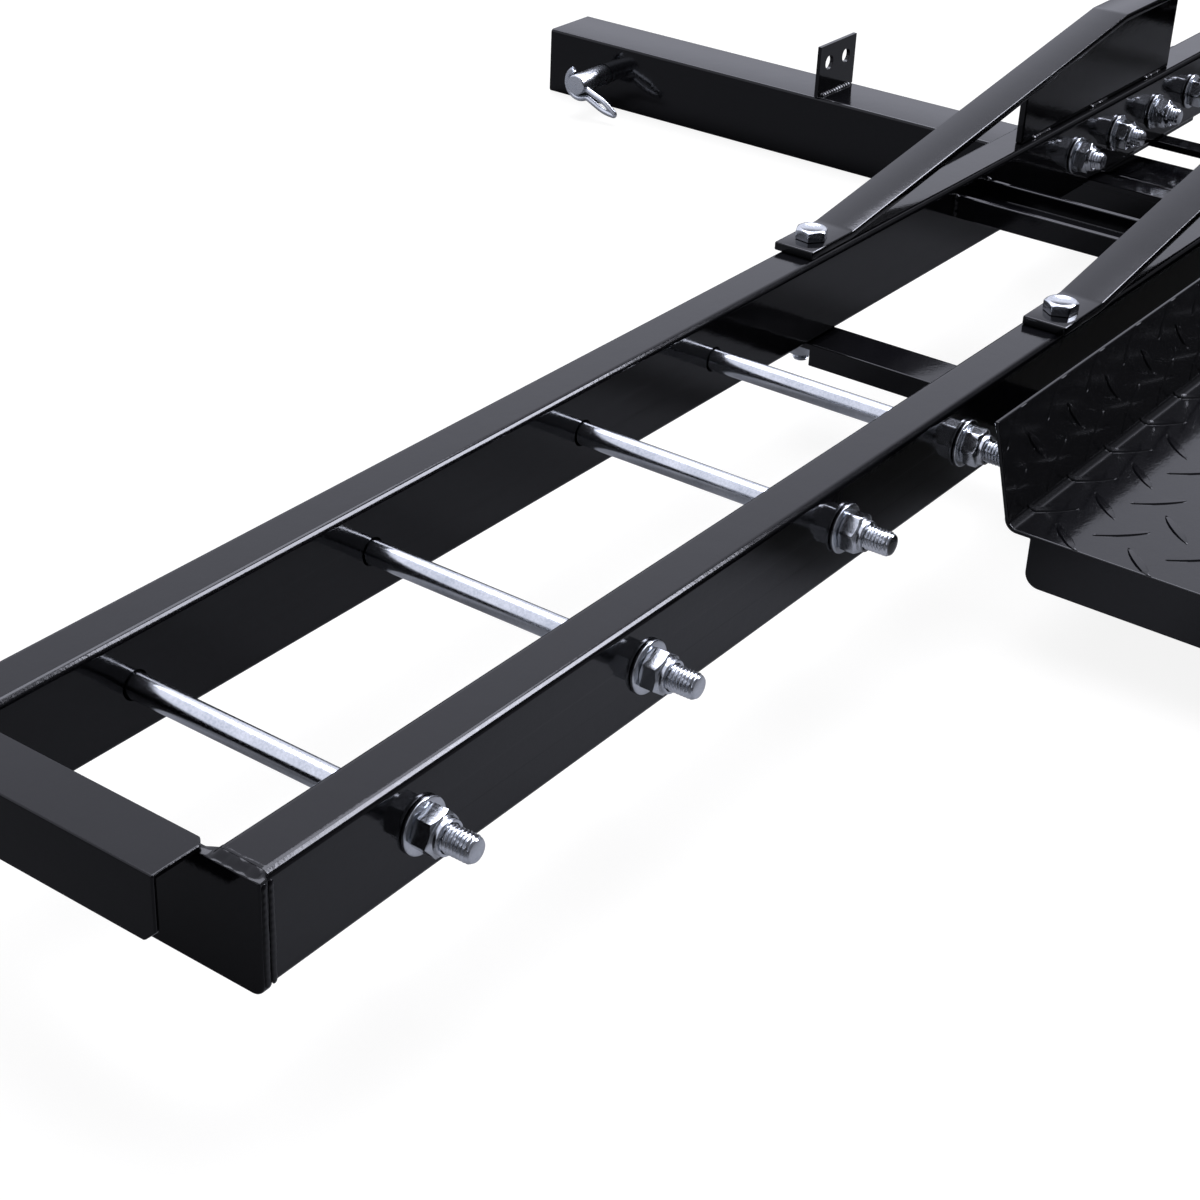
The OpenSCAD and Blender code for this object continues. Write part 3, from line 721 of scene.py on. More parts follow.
def coat_group():
    """Powder coat: cloudy tone, fine grain in the gloss, and the orange peel of a baked coat."""
    bench, given, made, where = finish_group("powder coat", 0.01, 0.02)
    clouds = bench.noise(where, 9, 4, 0.6)
    grain = bench.noise(where, 1400, 2)
    tone = bench.math("ADD", bench.spread(clouds, 0.3, 0.7, 0, 0.7), bench.spread(grain, 0.4, 0.7, 0, 0.3))
    bench.link(bench.tones(tone, given["Dark"], given["Light"]), made["Color"])
    patches = bench.noise(where, 38, 3)
    dull = bench.math("MULTIPLY", bench.spread(patches, 0.3, 0.75, 0.85, 1.3), given["Gloss"])
    bench.link(bench.math("ADD", dull, bench.spread(grain, 0.3, 0.8, 0, 0.03)), made["Roughness"])
    peel = bench.math("MULTIPLY", bench.noise(where, 520, 1), given["Texture"])
    wave = bench.math("MULTIPLY", bench.noise(where, 90, 1), 2.2)
    bench.link(bench.bump(bench.math("ADD", peel, wave), 0.16, 0.00012), made["Normal"])
    return bench.tree


def zinc_group():
    """Zinc plating: bright and duller flecks, soft stains, and a fine drawn grain."""
    bench, given, made, where = finish_group("zinc plating", 0.5, 0.8)
    stains = bench.noise(where, 55, 3, 0.6)
    flecks = bench.noise(where, 900, 2)
    tone = bench.math("ADD", bench.spread(stains, 0.3, 0.7, 0, 0.65),
                      bench.spread(flecks, 0.35, 0.65, 0, 0.35))
    bench.link(bench.tones(tone, given["Dark"], given["Light"]), made["Color"])
    dull = bench.math("MULTIPLY", bench.spread(stains, 0.3, 0.75, 1.35, 0.8), given["Gloss"])
    bench.link(bench.math("ADD", dull, bench.spread(flecks, 0.3, 0.8, 0, 0.09)), made["Roughness"])
    scratches = bench.math("MULTIPLY", bench.noise(where, 2300, 2), given["Texture"])
    bench.link(bench.bump(scratches, 0.25, 0.00008), made["Normal"])
    return bench.tree


def finish_material(name, group, metallic, specular, dark, light, gloss, texture):
    """A finish: the group's colour, roughness and normal on a Principled surface."""
    material = bpy.data.materials.new(name)
    material.use_nodes = True
    tree = material.node_tree
    tree.nodes.clear()
    bench = NodeBench(tree)
    pattern = bench.add("ShaderNodeGroup", node_tree=group)
    for label, value in (("Dark", (*dark, 1)), ("Light", (*light, 1)), ("Gloss", gloss),
                         ("Texture", texture)):
        pattern.inputs[label].default_value = value
    surface = bench.add("ShaderNodeBsdfPrincipled")
    surface.inputs["Metallic"].default_value = metallic
    surface.inputs["Specular IOR Level"].default_value = specular
    output = bench.add("ShaderNodeOutputMaterial")
    for made, taken in (("Color", "Base Color"), ("Roughness", "Roughness"), ("Normal", "Normal")):
        bench.link(pattern.outputs[made], surface.inputs[taken])
    bench.link(surface.outputs["BSDF"], output.inputs["Surface"])
    return material


def materials():
    """The finishes, made once: track coat, ramp coat, zinc hardware, pin zinc and weld coat."""
    names = ("track coat", "ramp coat", "zinc hardware", "pin zinc", "weld coat")
    if names[0] not in bpy.data.materials:
        f = finish()
        coat, zinc = coat_group(), zinc_group()
        brighter = [1.35 * c for c in f.zinc]
        finish_material(names[0], coat, 0, f.coat_specular, f.coat, f.coat_light, f.coat_gloss, 1.0)
        finish_material(names[1], coat, 0, f.coat_specular * 1.2, f.coat, f.coat_light, f.coat_gloss, 1.2)
        finish_material(names[2], zinc, 1, 0.5, f.zinc, f.zinc_light, f.zinc_gloss, 1.0)
        finish_material(names[3], zinc, 1, 0.5, brighter, f.zinc_light, f.zinc_gloss * 1.6, 0.6)
        finish_material(names[4], coat, 0, f.coat_specular, f.coat, f.coat_light, f.coat_gloss * 1.5, 1.6)
    return [bpy.data.materials[n] for n in names]


# The track's middle line, between its two rails
TRACK_Y = float(middle(box_of("end_plate_left"))[1])


# Operators


class CARRIER_OT_stage(bpy.types.Operator):
    """Floor, surroundings, lamps and the camera at the photograph's viewing angle"""

    bl_idname = "carrier.stage"
    bl_label = "Stage"

    def execute(self, context):
        s = context.scene.carrier_stage
        context.scene.view_settings.view_transform = "Standard"
        self.camera(context, s)
        self.floor(context, s)
        self.world(context, s)
        self.lamp(context, "back lamp", s.back_light, *BACK_LAMP)
        self.lamp(context, "high lamp", s.high_light, *HIGH_LAMP)
        for lean in EDGE_LEANS:
            swing = math.radians(lean)
            towards = (EDGE_ALONG, -EDGE_ACROSS * math.sin(swing), EDGE_ACROSS * math.cos(swing))
            edge = self.lamp(context, "edge lamp", s.edge_light, towards, EDGE_WIDTH)
            edge.visible_diffuse = False
        return {"FINISHED"}

    def camera(self, context, s):
        """The camera, turned to its azimuth and dip and then rolled about its view."""
        data = bpy.data.cameras.new("camera")
        data.lens = s.lens
        data.sensor_width = 36
        item = bpy.data.objects.new("camera", data)
        context.scene.collection.objects.link(item)
        view = Vector((math.cos(s.dip) * math.cos(s.azimuth), math.cos(s.dip) * math.sin(s.azimuth),
                       -math.sin(s.dip)))
        level = view.cross(Vector(Z_AXIS)).normalized()
        upright = level.cross(view)
        right = level * math.cos(s.roll) + upright * math.sin(s.roll)
        up = right.cross(view)
        turn = Matrix((right, up, -view)).transposed()
        item.matrix_world = Matrix.Translation(Vector(s.place)) @ turn.to_4x4()
        context.scene.camera = item

    def floor(self, context, s):
        """A wide disc at the object's lowest point, white to the camera and grey to the object.

        The grey is darkened by painted shade under the track, past the rails' ends and further out under the
        ramp, from the mask below, and the white comes from the colour and from a glow for the camera.
        """
        reach = 40
        angle = np.linspace(0, TURN, 65)
        rings = np.array([0, 1.5, 6, reach])[:, None]
        grid = np.stack([rings * np.cos(angle), rings * np.sin(angle), 0 * rings + 0 * angle + GROUND], -1)
        mesh = bpy.data.meshes.new("floor")
        mesh.from_pydata(grid.reshape(-1, 3).tolist(), [], grid_cells(*grid.shape[:2]).tolist())
        item = bpy.data.objects.new("floor", mesh)
        context.scene.collection.objects.link(item)
        material = bpy.data.materials.new("pale floor")
        material.use_nodes = True
        bench = NodeBench(material.node_tree)
        surface = material.node_tree.nodes["Principled BSDF"]
        surface.inputs["Roughness"].default_value = 0.9
        surface.inputs["Specular IOR Level"].default_value = 0.1
        surface.inputs["Emission Color"].default_value = (1, 1, 1, 1)
        camera, mirrored = self.seen(bench)
        glow = bench.math("MAXIMUM", bench.math("MULTIPLY", camera, s.floor_glow),
                          bench.math("MULTIPLY", mirrored, s.floor_mirrored))
        # Painted shade: for every ray but the camera's, the floor's colour darkens where the object's shadow
        # would fall
        shade = bench.math("MAXIMUM", camera, self.painted_floor_shade(bench))
        bench.link(glow, surface.inputs["Emission Strength"])
        seen = bench.tones(camera, bench.colour(s.floor_around), bench.colour(s.floor))
        bench.link(bench.tones(shade, bench.colour((0, 0, 0)), seen), surface.inputs["Base Color"])
        mesh.materials.append(material)

    def painted_floor_shade(self, bench):
        """Painted shade on the floor: one on the strip of floor beside the near rail, and less under the
        track and further out.

        It is the product of three smoothsteps, along the track and on either side of the strip.
        """
        place = bench.add("ShaderNodeSeparateXYZ")
        bench.link(bench.add("ShaderNodeTexCoord").outputs["Object"], place.inputs["Vector"])
        x, y = bench.math("ABSOLUTE", place.outputs["X"], 0), place.outputs["Y"]
        past_end = bench.smooth(x, *SHADE_PAST_END)
        inside = bench.smooth(y, *SHADE_UNDER_TRACK)
        outside = bench.smooth(y, *SHADE_FURTHER_OUT)
        return bench.math("MULTIPLY", past_end, bench.math("MULTIPLY", inside, outside))

    def seen(self, bench):
        """One for what the camera sees directly, and one for what it sees in a mirror or through glass."""
        path = bench.add("ShaderNodeLightPath").outputs
        mirrored = bench.math("MAXIMUM", path["Is Glossy Ray"], path["Is Transmission Ray"])
        return path["Is Camera Ray"], mirrored

    def world(self, context, s):
        """White behind the object, and a softer fill on it from studio surroundings.

        The surroundings rise by a smoothstep from DUSK at the horizon to 1 a little above it, and by
        another from DUSK on the camera's side to 1 towards the back.
        """
        world = bpy.data.worlds.new("surroundings")
        world.use_nodes = True
        context.scene.world = world
        bench = NodeBench(world.node_tree)
        back = world.node_tree.nodes["Background"]
        towards = bench.add("ShaderNodeSeparateXYZ")
        bench.link(bench.add("ShaderNodeTexCoord").outputs["Generated"], towards.inputs["Vector"])
        camera, mirrored = self.seen(bench)
        bench.link(bench.tones(camera, bench.colour(s.tint), bench.colour((1, 1, 1))), back.inputs["Color"])
        high = bench.smooth(towards.outputs["Z"], *ABOVE_HORIZON, DUSK, 1)
        behind = bench.smooth(towards.outputs["Y"], *TOWARDS_BACK, DUSK, 1)
        level = bench.math("MULTIPLY", bench.spread(mirrored, 0, 1, s.fill, s.mirrored),
                           bench.math("MULTIPLY", high, behind))
        bench.link(bench.math("MAXIMUM", camera, level), back.inputs["Strength"])

    def lamp(self, context, name, strength, towards, width):
        """A distant lamp in the direction towards, which looks width degrees wide."""
        data = bpy.data.lights.new(name, "SUN")
        data.energy = strength
        data.color = context.scene.carrier_stage.tint
        data.angle = math.radians(width)
        item = bpy.data.objects.new(name, data)
        item.rotation_mode = "QUATERNION"
        item.rotation_quaternion = Vector(towards).to_track_quat("Z", "Y")
        context.scene.collection.objects.link(item)
        return item


class CARRIER_OT_track(bpy.types.Operator):
    """Rails, end plates, hook angles and their welds"""

    bl_idname = "carrier.track"
    bl_label = "Track"

    def execute(self, context):
        coat, _, _, _, bead = materials()
        for half in ("left", "right"):
            for side in ("near", "far"):
                smoothed(f"rail_{side}_{half}", coat, CARRIER)
            softened(f"end_plate_{half}", coat, CARRIER, sizes().edge)
            softened(f"hook_angle_{half}", coat, CARRIER, sizes().edge)
        self.end_welds(bead)
        return {"FINISHED"}

    def end_welds(self, bead):
        """At each rail's end a skin from its top down to the end plate, and two fine beads down its side."""
        grids = []
        for half, sign in (("left", -1), ("right", 1)):
            plate = box_of(f"end_plate_{half}")
            for index, side in enumerate(("near", "far")):
                rail = box_of(f"rail_{side}_{half}")
                outward = -1 if side == "near" else 1
                grids.append(self.skin(rail, plate, sign, outward, index))
                y = rail[0][1] if side == "near" else rail[1][1]
                for apart in (-0.0032, 0.0002):
                    x = sign * (abs(middle(plate)[0]) + apart)
                    grids.append(weld_grid((x, y, rail[0][2] + 0.001), (x, y, plate[1][2] - 0.001),
                                           (0, outward, 0), 0.0015, index, 0.5))
        built("end_welds", grids, bead, CARRIER, crease=50)

    def skin(self, rail, plate, sign, outward, seed):
        """Points of a weld skin over a rail's end.

        Across the rail, v runs from its outer side to a little past its inner side. Along it, u runs
        from the rail's top to the outer edge of the plate: height = rail height (1 - s) + plate
        height s with s = smoothstep(u), plus a low swell sin(pi u)^2. The rail height drops along the
        rail's rounded corners. Swell, start and reach waver along v by sines. The outline closes
        underneath, inside the metal.
        """
        u = np.linspace(0, 1, 14)[:, None]
        v = np.linspace(0, 1, 40)[None, :]
        wander = np.random.default_rng(seed).uniform(0, TURN, 4)

        def wave(size, count, index):
            """A sine along v, shifted by one of the phases drawn above."""
            return size * np.sin(count * v + wander[index])

        width = rail[1][1] - rail[0][1]
        # Reach past the rail's inner side, radius of its corners, depth in the plate and inset there
        past, corner, sunk, drawn_in = 0.0046, 0.0034, 0.003, 0.0014
        across = v * (width + past)
        into = np.clip(1 - np.minimum(across, width + 0 * across) / corner, 0, 1)
        into += np.clip((across - (width - corner)) / corner, 0, 1)
        fall = corner * (1 - np.sqrt(np.clip(1 - into ** 2, 0, 1)))
        top, low = rail[1][2] + 0.00004, plate[1][2]
        high = np.maximum(top - fall, low + 0.0002)
        blend = u * u * (3 - 2 * u)
        swell = 0.0003 + wave(0.00016, 23, 0) + wave(0.00005, 57, 1)
        height = high * (1 - blend) + (low + 0.0001) * blend + swell * np.sin(math.pi * u) ** 2
        start = 0.0068 + wave(0.0003, 9, 2) - 0.0028 * np.clip((across - width) / past, 0, 1)
        reach = 0.0001 + wave(0.0002, 31, 3)
        back = start * (1 - u) + reach * u
        x = sign * (abs(plate[0 if sign < 0 else 1][0]) - back)
        side_y = rail[0][1] if outward < 0 else rail[1][1]
        y = side_y - outward * (across + 0.0001)
        top_face = np.stack([x + 0 * y, y + 0 * x, height + 0 * x], -1)
        under = top_face.copy()
        under[..., 2] = low - sunk
        inset = np.clip(np.abs(u - 0.5) * 2, 0, 1)
        under[..., 0] -= sign * (drawn_in * inset * (u > 0.5))
        ring = np.concatenate([top_face, under[::-1], top_face[:1]])
        first = np.repeat(ring[:, :1].mean(0, keepdims=True), len(ring), 0)
        last = np.repeat(ring[:, -1:].mean(0, keepdims=True), len(ring), 0)
        return np.concatenate([first, ring, last], 1)


class CARRIER_OT_rungs(bpy.types.Operator):
    """Threaded rung rods with washers and collared nuts"""

    bl_idname = "carrier.rungs"
    bl_label = "Rungs"

    def execute(self, context):
        zinc = materials()[2]
        s = sizes()
        rods, nuts, washers = (solids_in(n, 0.02) for n in ("rung_rods", "rung_nuts", "rung_washers"))
        thread = 0.0195
        grids = []
        for index, box in enumerate(self.whole(rods)):
            head = box[1][1] - box_of("rail_far_left")[1][1]
            seat = seat_on(box, 1, box[1][1] - head)
            length = seat[1] - box[0][1] - TIP_RISE
            grids.append(bolt_grid(seat, -Y_AXIS, X_AXIS, head, flats_of(box), s.rod, length, thread,
                                   0.7 * index))
        built("rung_rods_finish", grids, zinc, CARRIER, "rung_rods")
        hardware(nuts, washers, "rung", s.rod, zinc, -1)
        return {"FINISHED"}

    def whole(self, boxes):
        """Joins the two boxes into which the track's middle line splits each rod."""
        pairs = zip(boxes[::2], boxes[1::2])
        return [(np.minimum(a[0], b[0]), np.maximum(a[1], b[1])) for a, b in pairs]


def hardware(nuts, washers, name, size, zinc, outward):
    """Washers and collared nuts along Y, where the CAD's own nuts and washers are.

    outward is the Y direction in which they grow from their rail, or 0 where each grows towards the
    track's middle line. The collar is the last quarter of a nut.
    """
    nut_grids, washer_grids = [], []
    bore = size / 2 + BORE_GAP
    for index, (nut, washer) in enumerate(zip(nuts, washers)):
        way = outward if outward else (1 if middle(nut)[1] < TRACK_Y else -1)
        side = 0 if way > 0 else 1
        thick = washer[1][1] - washer[0][1]
        washer_grids.append(washer_grid(seat_on(washer, 1, washer[side][1]), way * Y_AXIS, X_AXIS,
                                        radius_of(washer), bore, thick))
        tall = nut[1][1] - nut[0][1]
        nut_grids.append(nut_grid(seat_on(nut, 1, nut[side][1]), way * Y_AXIS, X_AXIS, flats_of(nut),
                                  tall * 0.75, bore, tall * 0.25, NUT_SPINS[index % len(NUT_SPINS)]))
    for label, grids in (("nuts", nut_grids), ("washers", washer_grids)):
        built(f"{name}_{label}_finish", grids, zinc, CARRIER, f"{name}_{label}")


class CARRIER_OT_straps(bpy.types.Operator):
    """Arched straps, their webs and their bolts"""

    bl_idname = "carrier.straps"
    bl_label = "Straps"

    def execute(self, context):
        coat, _, zinc, _, bead = materials()
        for side in ("near", "far"):
            self.strap(side, coat)
            softened(f"web_{side}", coat, CARRIER, sizes().edge)
        self.bolts(zinc)
        self.welds(bead)
        return {"FINISHED"}

    def strap(self, side, coat):
        """The strap's middle line: flat foot, slope, flat top, slope and foot, with round bends."""
        node = f"strap_{side}"
        low, high = box_of(node)
        points = node_points(node)
        thick = points[points[:, 0] < low[0] + ON_FACE][:, 2].max() - low[2]
        heights = points[points[:, 2] > high[2] - ON_FACE][:, 0]
        foot = points[(points[:, 2] < low[2] + ON_FACE) & (points[:, 0] < 0)][:, 0].max()
        y = (low[1] + high[1]) / 2
        z_foot, z_top = low[2] + thick / 2, high[2] - thick / 2
        corners = [(low[0], y, z_foot), (foot, y, z_foot), (heights.min(), y, z_top),
                   (heights.max(), y, z_top), (-foot, y, z_foot), (high[0], y, z_foot)]
        path = rounded_path(corners, [sizes().strap_bend] * 4)
        grid = flat_bar_grid(path, -Y_AXIS, high[1] - low[1], thick, sizes().edge)
        built(f"{node}_finish", [grid], coat, CARRIER, node)

    def bolts(self, zinc):
        """Bolts down through strap, rail and support angle, with their washers and nuts below."""
        s = sizes()
        bolts, nuts, washers = (solids_in(f"strap_{n}") for n in ("bolts", "nuts", "washers"))
        points = node_points("strap_near")
        foot_top = points[points[:, 0] < points[:, 0].min() + ON_FACE][:, 2].max()
        bore, thread = s.strap_bolt / 2 + BORE_GAP, 0.022
        bolt_grids, nut_grids, washer_grids = [], [], []
        for index, (bolt, nut, washer) in enumerate(zip(bolts, nuts, washers)):
            bolt_grids.append(bolt_grid(seat_on(bolt, 2, foot_top), -Z_AXIS, X_AXIS, bolt[1][2] - foot_top,
                                        flats_of(bolt), s.strap_bolt, foot_top - bolt[0][2] - TIP_RISE,
                                        thread, 0.4 + 0.5 * index))
            washer_grids.append(washer_grid(seat_on(washer, 2, washer[1][2]), -Z_AXIS, X_AXIS,
                                            radius_of(washer), bore, washer[1][2] - washer[0][2]))
            nut_grids.append(nut_grid(seat_on(nut, 2, nut[1][2]), -Z_AXIS, X_AXIS, flats_of(nut),
                                      nut[1][2] - nut[0][2], bore, 0, 0.3 * index))
        for label, grids in (("bolts", bolt_grids), ("nuts", nut_grids), ("washers", washer_grids)):
            built(f"strap_{label}_finish", grids, zinc, CARRIER, f"strap_{label}")

    def welds(self, coat):
        """Short beads along the foot of each web, on both of its faces."""
        grids, half = [], 0.013
        for side in ("near", "far"):
            low, high = box_of(f"web_{side}")
            for share in (0.12, 0.5, 0.88):
                x = low[0] + share * (high[0] - low[0])
                for y, out in ((low[1], -1), (high[1], 1)):
                    grids.append(weld_grid((x - half, y, low[2]), (x + half, y, low[2]), (0, out, 1),
                                           sizes().weld * 0.6, len(grids)))
        built("web_welds", grids, coat, CARRIER)


class CARRIER_OT_cross_pieces(bpy.types.Operator):
    """Cross channels and support angles"""

    bl_idname = "carrier.cross_pieces"
    bl_label = "Cross pieces"

    def execute(self, context):
        coat, _, _, _, bead = materials()
        for half in ("left", "right"):
            softened(f"cross_channel_{half}", coat, CARRIER, sizes().edge)
            softened(f"support_angle_{half}", coat, CARRIER, sizes().edge)
        self.welds(bead)
        return {"FINISHED"}

    def welds(self, coat):
        """Beads down the two walls of each channel, where it meets the rails."""
        grids = []
        for half in ("left", "right"):
            low, high = box_of(f"cross_channel_{half}")
            for x, out_x in ((low[0], -1), (high[0], 1)):
                for y, out_y in ((low[1], 1), (high[1], -1)):
                    grids.append(weld_grid((x, y, low[2] + 0.001), (x, y, high[2] + 0.001),
                                           (out_x, out_y, 0), sizes().weld * 0.8, len(grids)))
        built("channel_welds", grids, coat, CARRIER)


class CARRIER_OT_hitch(bpy.types.Operator):
    """Hitch bar, bracket angles, tie bars, plate tab and bracket bolts"""

    bl_idname = "carrier.hitch"
    bl_label = "Hitch"

    def execute(self, context):
        coat, _, zinc, _, bead = materials()
        for node in ("hitch_bar", "bracket_angle_near", "bracket_angle_far", "tie_bar_left",
                     "tie_bar_right", "plate_tab"):
            softened(node, coat, CARRIER, sizes().edge)
        self.bolts(zinc)
        self.welds(bead)
        return {"FINISHED"}

    def bolts(self, zinc):
        """Bolts through bracket angle and rail, with washers and nuts on the rails' inner faces."""
        size, thread = sizes().rod, 0.012
        grids = []
        for index, box in enumerate(solids_in("bracket_bolts")):
            # The near rail's bolts point along +Y from the low side of their box, the far rail's back
            side, way, name = (0, 1, "near") if middle(box)[1] < TRACK_Y else (1, -1, "far")
            face = box_of(f"bracket_angle_{name}")[side][1]
            head, length = abs(face - box[side][1]), abs(box[1 - side][1] - face) - TIP_RISE
            grids.append(bolt_grid(seat_on(box, 1, face), way * Y_AXIS, X_AXIS, head, flats_of(box), size,
                                   length, thread, 0.6 * index))
        built("bracket_bolts_finish", grids, zinc, CARRIER, "bracket_bolts")
        hardware(solids_in("bracket_nuts"), solids_in("bracket_washers"), "bracket", size, zinc, 0)

    def welds(self, coat):
        """Beads under the bracket angles beside the bar, at the tie bars' ends and along the tab's foot."""
        grids = []
        bar = box_of("hitch_bar")
        for side in ("near", "far"):
            low, high = box_of(f"bracket_angle_{side}")
            for sign in (-1, 1):
                x = sign * bar[1][0]
                grids.append(weld_grid((x, low[1] + 0.003, low[2]), (x, high[1] - 0.003, low[2]),
                                       (sign, 0, -1), sizes().weld, len(grids)))
        for half in ("left", "right"):
            low, high = box_of(f"tie_bar_{half}")
            for y in (low[1], high[1]):
                grids.append(weld_grid((low[0], y, high[2] - 0.001), (high[0], y, high[2] - 0.001),
                                       (0, 0, 1), sizes().weld * 0.7, len(grids)))
        low, high = box_of("plate_tab")
        for y, out in ((low[1], -1), (high[1], 1)):
            grids.append(weld_grid((low[0] + 0.003, y, low[2]), (high[0] - 0.003, y, low[2]),
                                   (0, out, 1), sizes().weld * 0.9, len(grids), 0.8))
        built("hitch_welds", grids, coat, CARRIER)


class CARRIER_OT_pin(bpy.types.Operator):
    """Bent hitch pin and its wire clip"""

    bl_idname = "carrier.pin"
    bl_label = "Pin and clip"

    bend: FloatProperty(
        name="Bend", description="Centre radius of the pin's bend", default=0.014, unit="LENGTH")

    def execute(self, context):
        zinc = materials()[3]
        low, high = box_of("hitch_pin")
        size = high[2] - low[2]
        arm_x = high[0] - size / 2
        corners = [(low[0], 0, 0), (arm_x, 0, 0), (arm_x, low[1], 0)]
        path = rounded_path(corners, [self.bend], 14, 0.006)
        grid = wire_grid(path, Z_AXIS, size / 2, 0.16, 40)
        built("hitch_pin_finish", [grid], zinc, PIN, "hitch_pin")
        self.clip(zinc)
        return {"FINISHED"}

    def clip(self, zinc):
        """One wire: a leg through the pin, a drawn-in closed end, a leg back, and an arc round the pin.

        It is drawn flat about the pin's axis and then turned down by tilt. The wire thins towards
        the closed end by a bell curve of the distance from it.
        """
        plane_x = middle(box_of("pin_clip"))[0]
        tilt = math.radians(23)
        # Radii of the arc round the pin and of the bend before it, and the angle at which the arc ends
        arc, turn, wrap = 0.0118, 0.005, 215
        # Distance between the legs, and the closed end's place
        pitch, reach, reach_side = 0.0060, 0.0437, 0.0026

        def bow(x, y, radius, swing):
            """Points of an arc about (x, y) at the angles in swing."""
            return np.stack([x + radius * np.cos(swing), y + radius * np.sin(swing), 0 * swing], -1)

        start = math.sqrt((arc + turn) ** 2 - (pitch + turn) ** 2)
        lift = math.atan2(pitch + turn, start)
        legs = rounded_path([(-0.009, 0, 0), (0.012, 0, 0), (0.025, -0.0008, 0), (reach, reach_side, 0),
                             (0.028, pitch + 0.0004, 0), (start, pitch, 0)],
                            [0.03, 0.03, 0.0012, 0.03], 9, 0.002)
        out = bow(start, pitch + turn, turn, np.linspace(1.5 * math.pi, math.pi + lift, 8))
        ring = bow(0, 0, arc, np.linspace(lift, math.radians(wrap), 36))
        flat = np.concatenate([legs, out[1:], ring[1:]])
        tip = np.linalg.norm(flat[:, :2] - [reach, reach_side], axis=1)
        radius = sizes().wire / 2 * (1 - 0.4 * np.exp(-(tip / 0.006) ** 2))
        along = np.array([0, -math.cos(tilt), -math.sin(tilt)])
        upward = np.array([0, math.sin(tilt), -math.cos(tilt)])
        path = np.array([plane_x, 0, 0]) + flat[:, :1] * along + flat[:, 1:2] * upward
        grid = wire_grid(path, X_AXIS, radius, 0.6, 16)
        built("pin_clip_finish", [grid], zinc, PIN, "pin_clip")


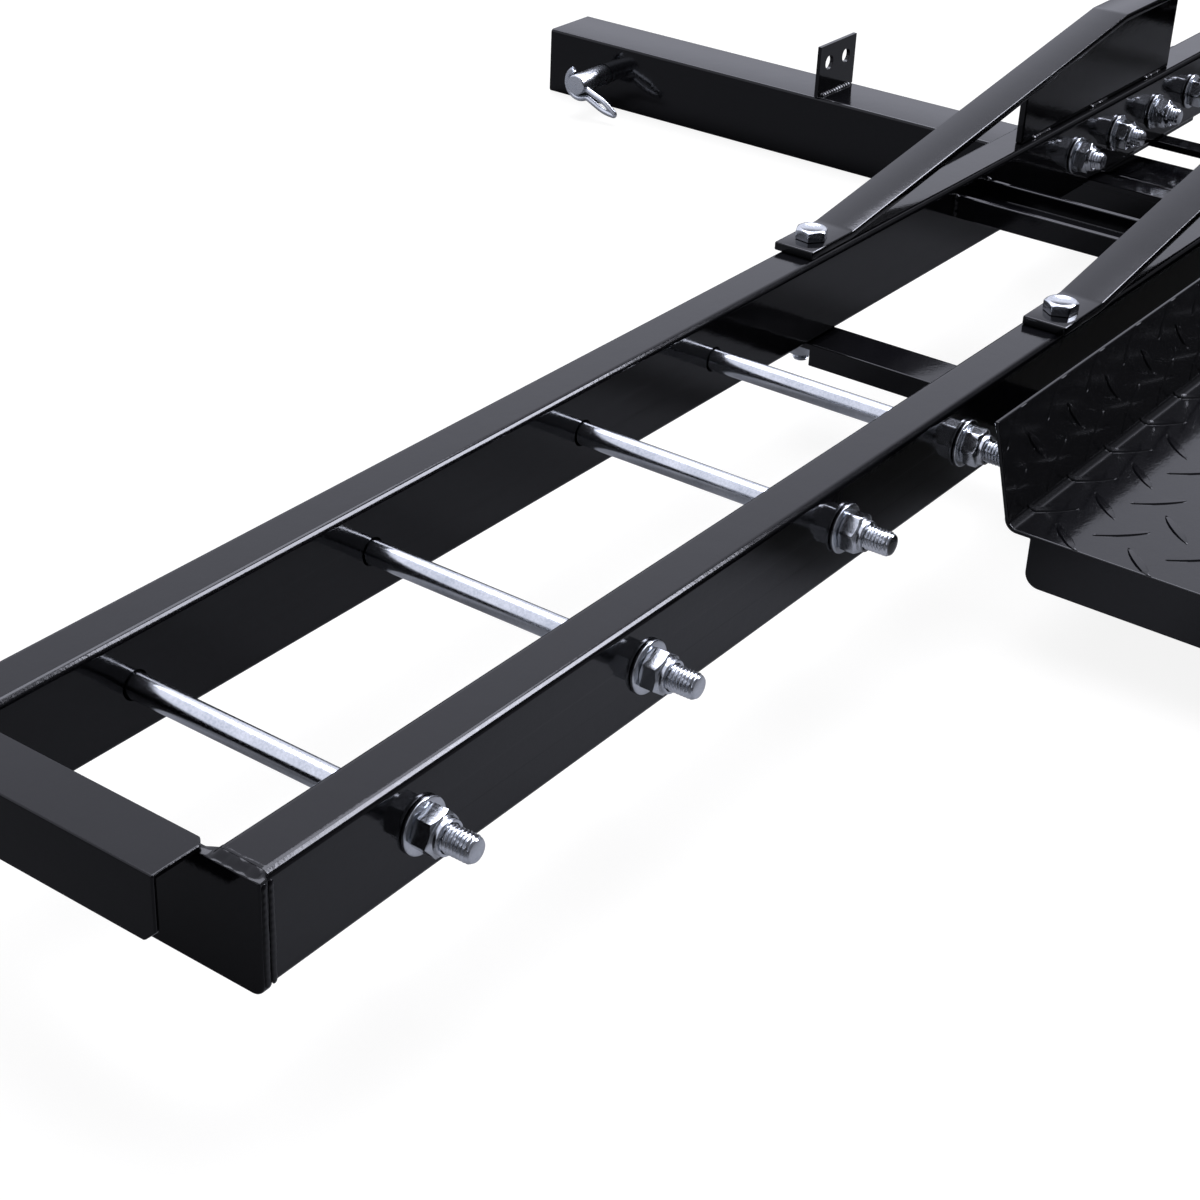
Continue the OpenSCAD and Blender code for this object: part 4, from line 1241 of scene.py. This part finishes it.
class CARRIER_OT_ramp(bpy.types.Operator):
    """Tread-plate ramp with its raised lugs"""

    bl_idname = "carrier.ramp"
    bl_label = "Ramp"

    sheet: FloatProperty(
        name="Sheet", description="Thickness of the ramp's sheet", default=0.0022, unit="LENGTH")
    bend: FloatProperty(
        name="Bend", description="Inside radius along the floor", default=0.005, unit="LENGTH")
    rake: FloatProperty(
        name="Rake", description="Reach of each side's top past the floor", default=0.0096, unit="LENGTH")
    flare: FloatProperty(
        name="Flare", description="Outward lean of each side at its top", default=0.0078, unit="LENGTH")
    first: FloatVectorProperty(
        name="First lug", description="Place of one lug along and across the ramp",
        default=(-0.5231, 0.0845), size=2, unit="LENGTH")

    def execute(self, context):
        coat = materials()[1]
        softened("ramp", coat, RAMP, sizes().edge * 0.9)
        built("ramp_tread", self.lugs(), coat, RAMP, crease=30)
        return {"FINISHED"}

    def lugs(self):
        """Lens-shaped lugs at plus and minus 45 degrees, set in turn over the sheet.

        A lug's half width is w(1 - u^2)^0.8 over its length u. Its flat top stands h(1 - u^2)^0.3
        above the sheet inside a sloped rim, and its underside lies in the sheet. Its points are laid
        on the unfolded sheet and then folded with it.
        """
        s = sizes()
        u = np.array([-1, -0.96, -0.82, -0.55, -0.2, 0.2, 0.55, 0.82, 0.96, 1])[:, None]
        share = np.array([-1, -0.66, 0.66, 1, 0.66, -0.66, -1])[None, :]
        level = np.array([0, 1, 1, 0, -0.4, -0.4, 0])[None, :]
        taper = np.clip(1 - u ** 2, 0, 1)
        along = u * s.lug_length / 2 + 0 * share
        across = s.lug_width / 2 * taper ** 0.8 * share
        up = s.lug_height * taper ** 0.3 * level
        low, high = box_of("ramp")
        self.line = (low[1] + high[1]) / 2
        self.floor_top = box_of("rail_near_left")[0][2] + self.sheet
        outer = self.sheet + self.bend
        tall = high[2] - self.floor_top + self.sheet
        lean = math.atan2(self.flare, tall - outer)
        over_fold = tall - outer + outer * math.sin(lean)
        self.half_flat = (high[1] - low[1]) / 2 - outer * math.cos(lean) - over_fold * math.tan(lean)
        self.turn = math.pi / 2 - lean
        self.side = (tall - outer + self.bend * math.sin(lean)) / math.cos(lean)
        self.half_floor = high[0] - self.rake
        width = self.half_flat + self.bend * self.turn + self.side
        grids = []
        for kind, hand in ((0, -1), (1, 1)):
            first_x = self.first[0] + kind * s.lug_pitch_x / 2
            first_y = self.first[1] - kind * s.lug_pitch_y / 2
            lug_x = np.arange(-40, 41) * s.lug_pitch_x + first_x
            lug_y = np.arange(-10, 11) * s.lug_pitch_y + first_y
            turn = math.radians(45) * hand
            x = along * math.cos(turn) - across * math.sin(turn)
            y = along * math.sin(turn) + across * math.cos(turn)
            for cy in lug_y[np.abs(lug_y) < width + s.lug_length * 0.2]:
                for cx in lug_x[np.abs(lug_x) < self.reach_at(cy) + s.lug_length * 0.15]:
                    grids.append(self.folded(cx + x, np.clip(cy + y, -width, width), up))
        return grids

    def reach_at(self, across):
        """Half length of the sheet at a distance across the unfolded sheet."""
        rise = np.clip((np.abs(across) - self.half_flat - self.bend * self.turn) / self.side, 0, 1)
        return self.half_floor + self.rake * rise

    def folded(self, x, across, up):
        """Point over the folded sheet: flat floor, fold, then leaning side, raised along its normal."""
        margin = 0.0004
        limit = self.reach_at(across) - margin
        x = np.clip(x, -limit, limit)
        past = np.abs(across) - self.half_flat
        swing = np.clip(past / self.bend, 0, self.turn)
        rise = np.clip(past - self.bend * self.turn, 0, None)
        flat = np.minimum(np.abs(across), self.half_flat)
        y = flat + (self.bend - up) * np.sin(swing) + rise * np.cos(swing)
        z = self.floor_top + self.bend * (1 - np.cos(swing)) + rise * np.sin(swing) + up * np.cos(swing)
        return np.stack([x, self.line + np.sign(across) * y, z], -1)


class CARRIER_PT_panel(bpy.types.Panel):
    """Lists the operators that dress the carrier"""

    bl_idname = "CARRIER_PT_panel"
    bl_label = "Motorcycle carrier"
    bl_space_type = "VIEW_3D"
    bl_region_type = "UI"
    bl_category = "Carrier"

    def draw(self, context):
        for operator in OPERATORS:
            self.layout.operator(operator.bl_idname)
        for group in ("carrier_sizes", "carrier_finish", "carrier_stage"):
            box = self.layout.box()
            values = getattr(context.scene, group)
            for name in values.__annotations__:
                box.prop(values, name)


OPERATORS = (CARRIER_OT_stage, CARRIER_OT_track, CARRIER_OT_rungs, CARRIER_OT_straps,
             CARRIER_OT_cross_pieces, CARRIER_OT_hitch, CARRIER_OT_pin, CARRIER_OT_ramp)
CLASSES = (CarrierSizes, CarrierFinish, CarrierStage, *OPERATORS, CARRIER_PT_panel)


def register():
    for item in CLASSES:
        bpy.utils.register_class(item)
    bpy.types.Scene.carrier_sizes = PointerProperty(type=CarrierSizes)
    bpy.types.Scene.carrier_finish = PointerProperty(type=CarrierFinish)
    bpy.types.Scene.carrier_stage = PointerProperty(type=CarrierStage)


def unregister():
    for name in ("carrier_sizes", "carrier_finish", "carrier_stage"):
        delattr(bpy.types.Scene, name)
    for item in reversed(CLASSES):
        bpy.utils.unregister_class(item)


def main():
    """Dresses the frame piece by piece."""
    register()
    bpy.ops.carrier.stage()
    bpy.ops.carrier.track()
    bpy.ops.carrier.rungs()
    bpy.ops.carrier.straps()
    bpy.ops.carrier.cross_pieces()
    bpy.ops.carrier.hitch()
    bpy.ops.carrier.pin()
    bpy.ops.carrier.ramp()
    bpy.context.view_layer.update()


if __name__ == "__main__":
    main()
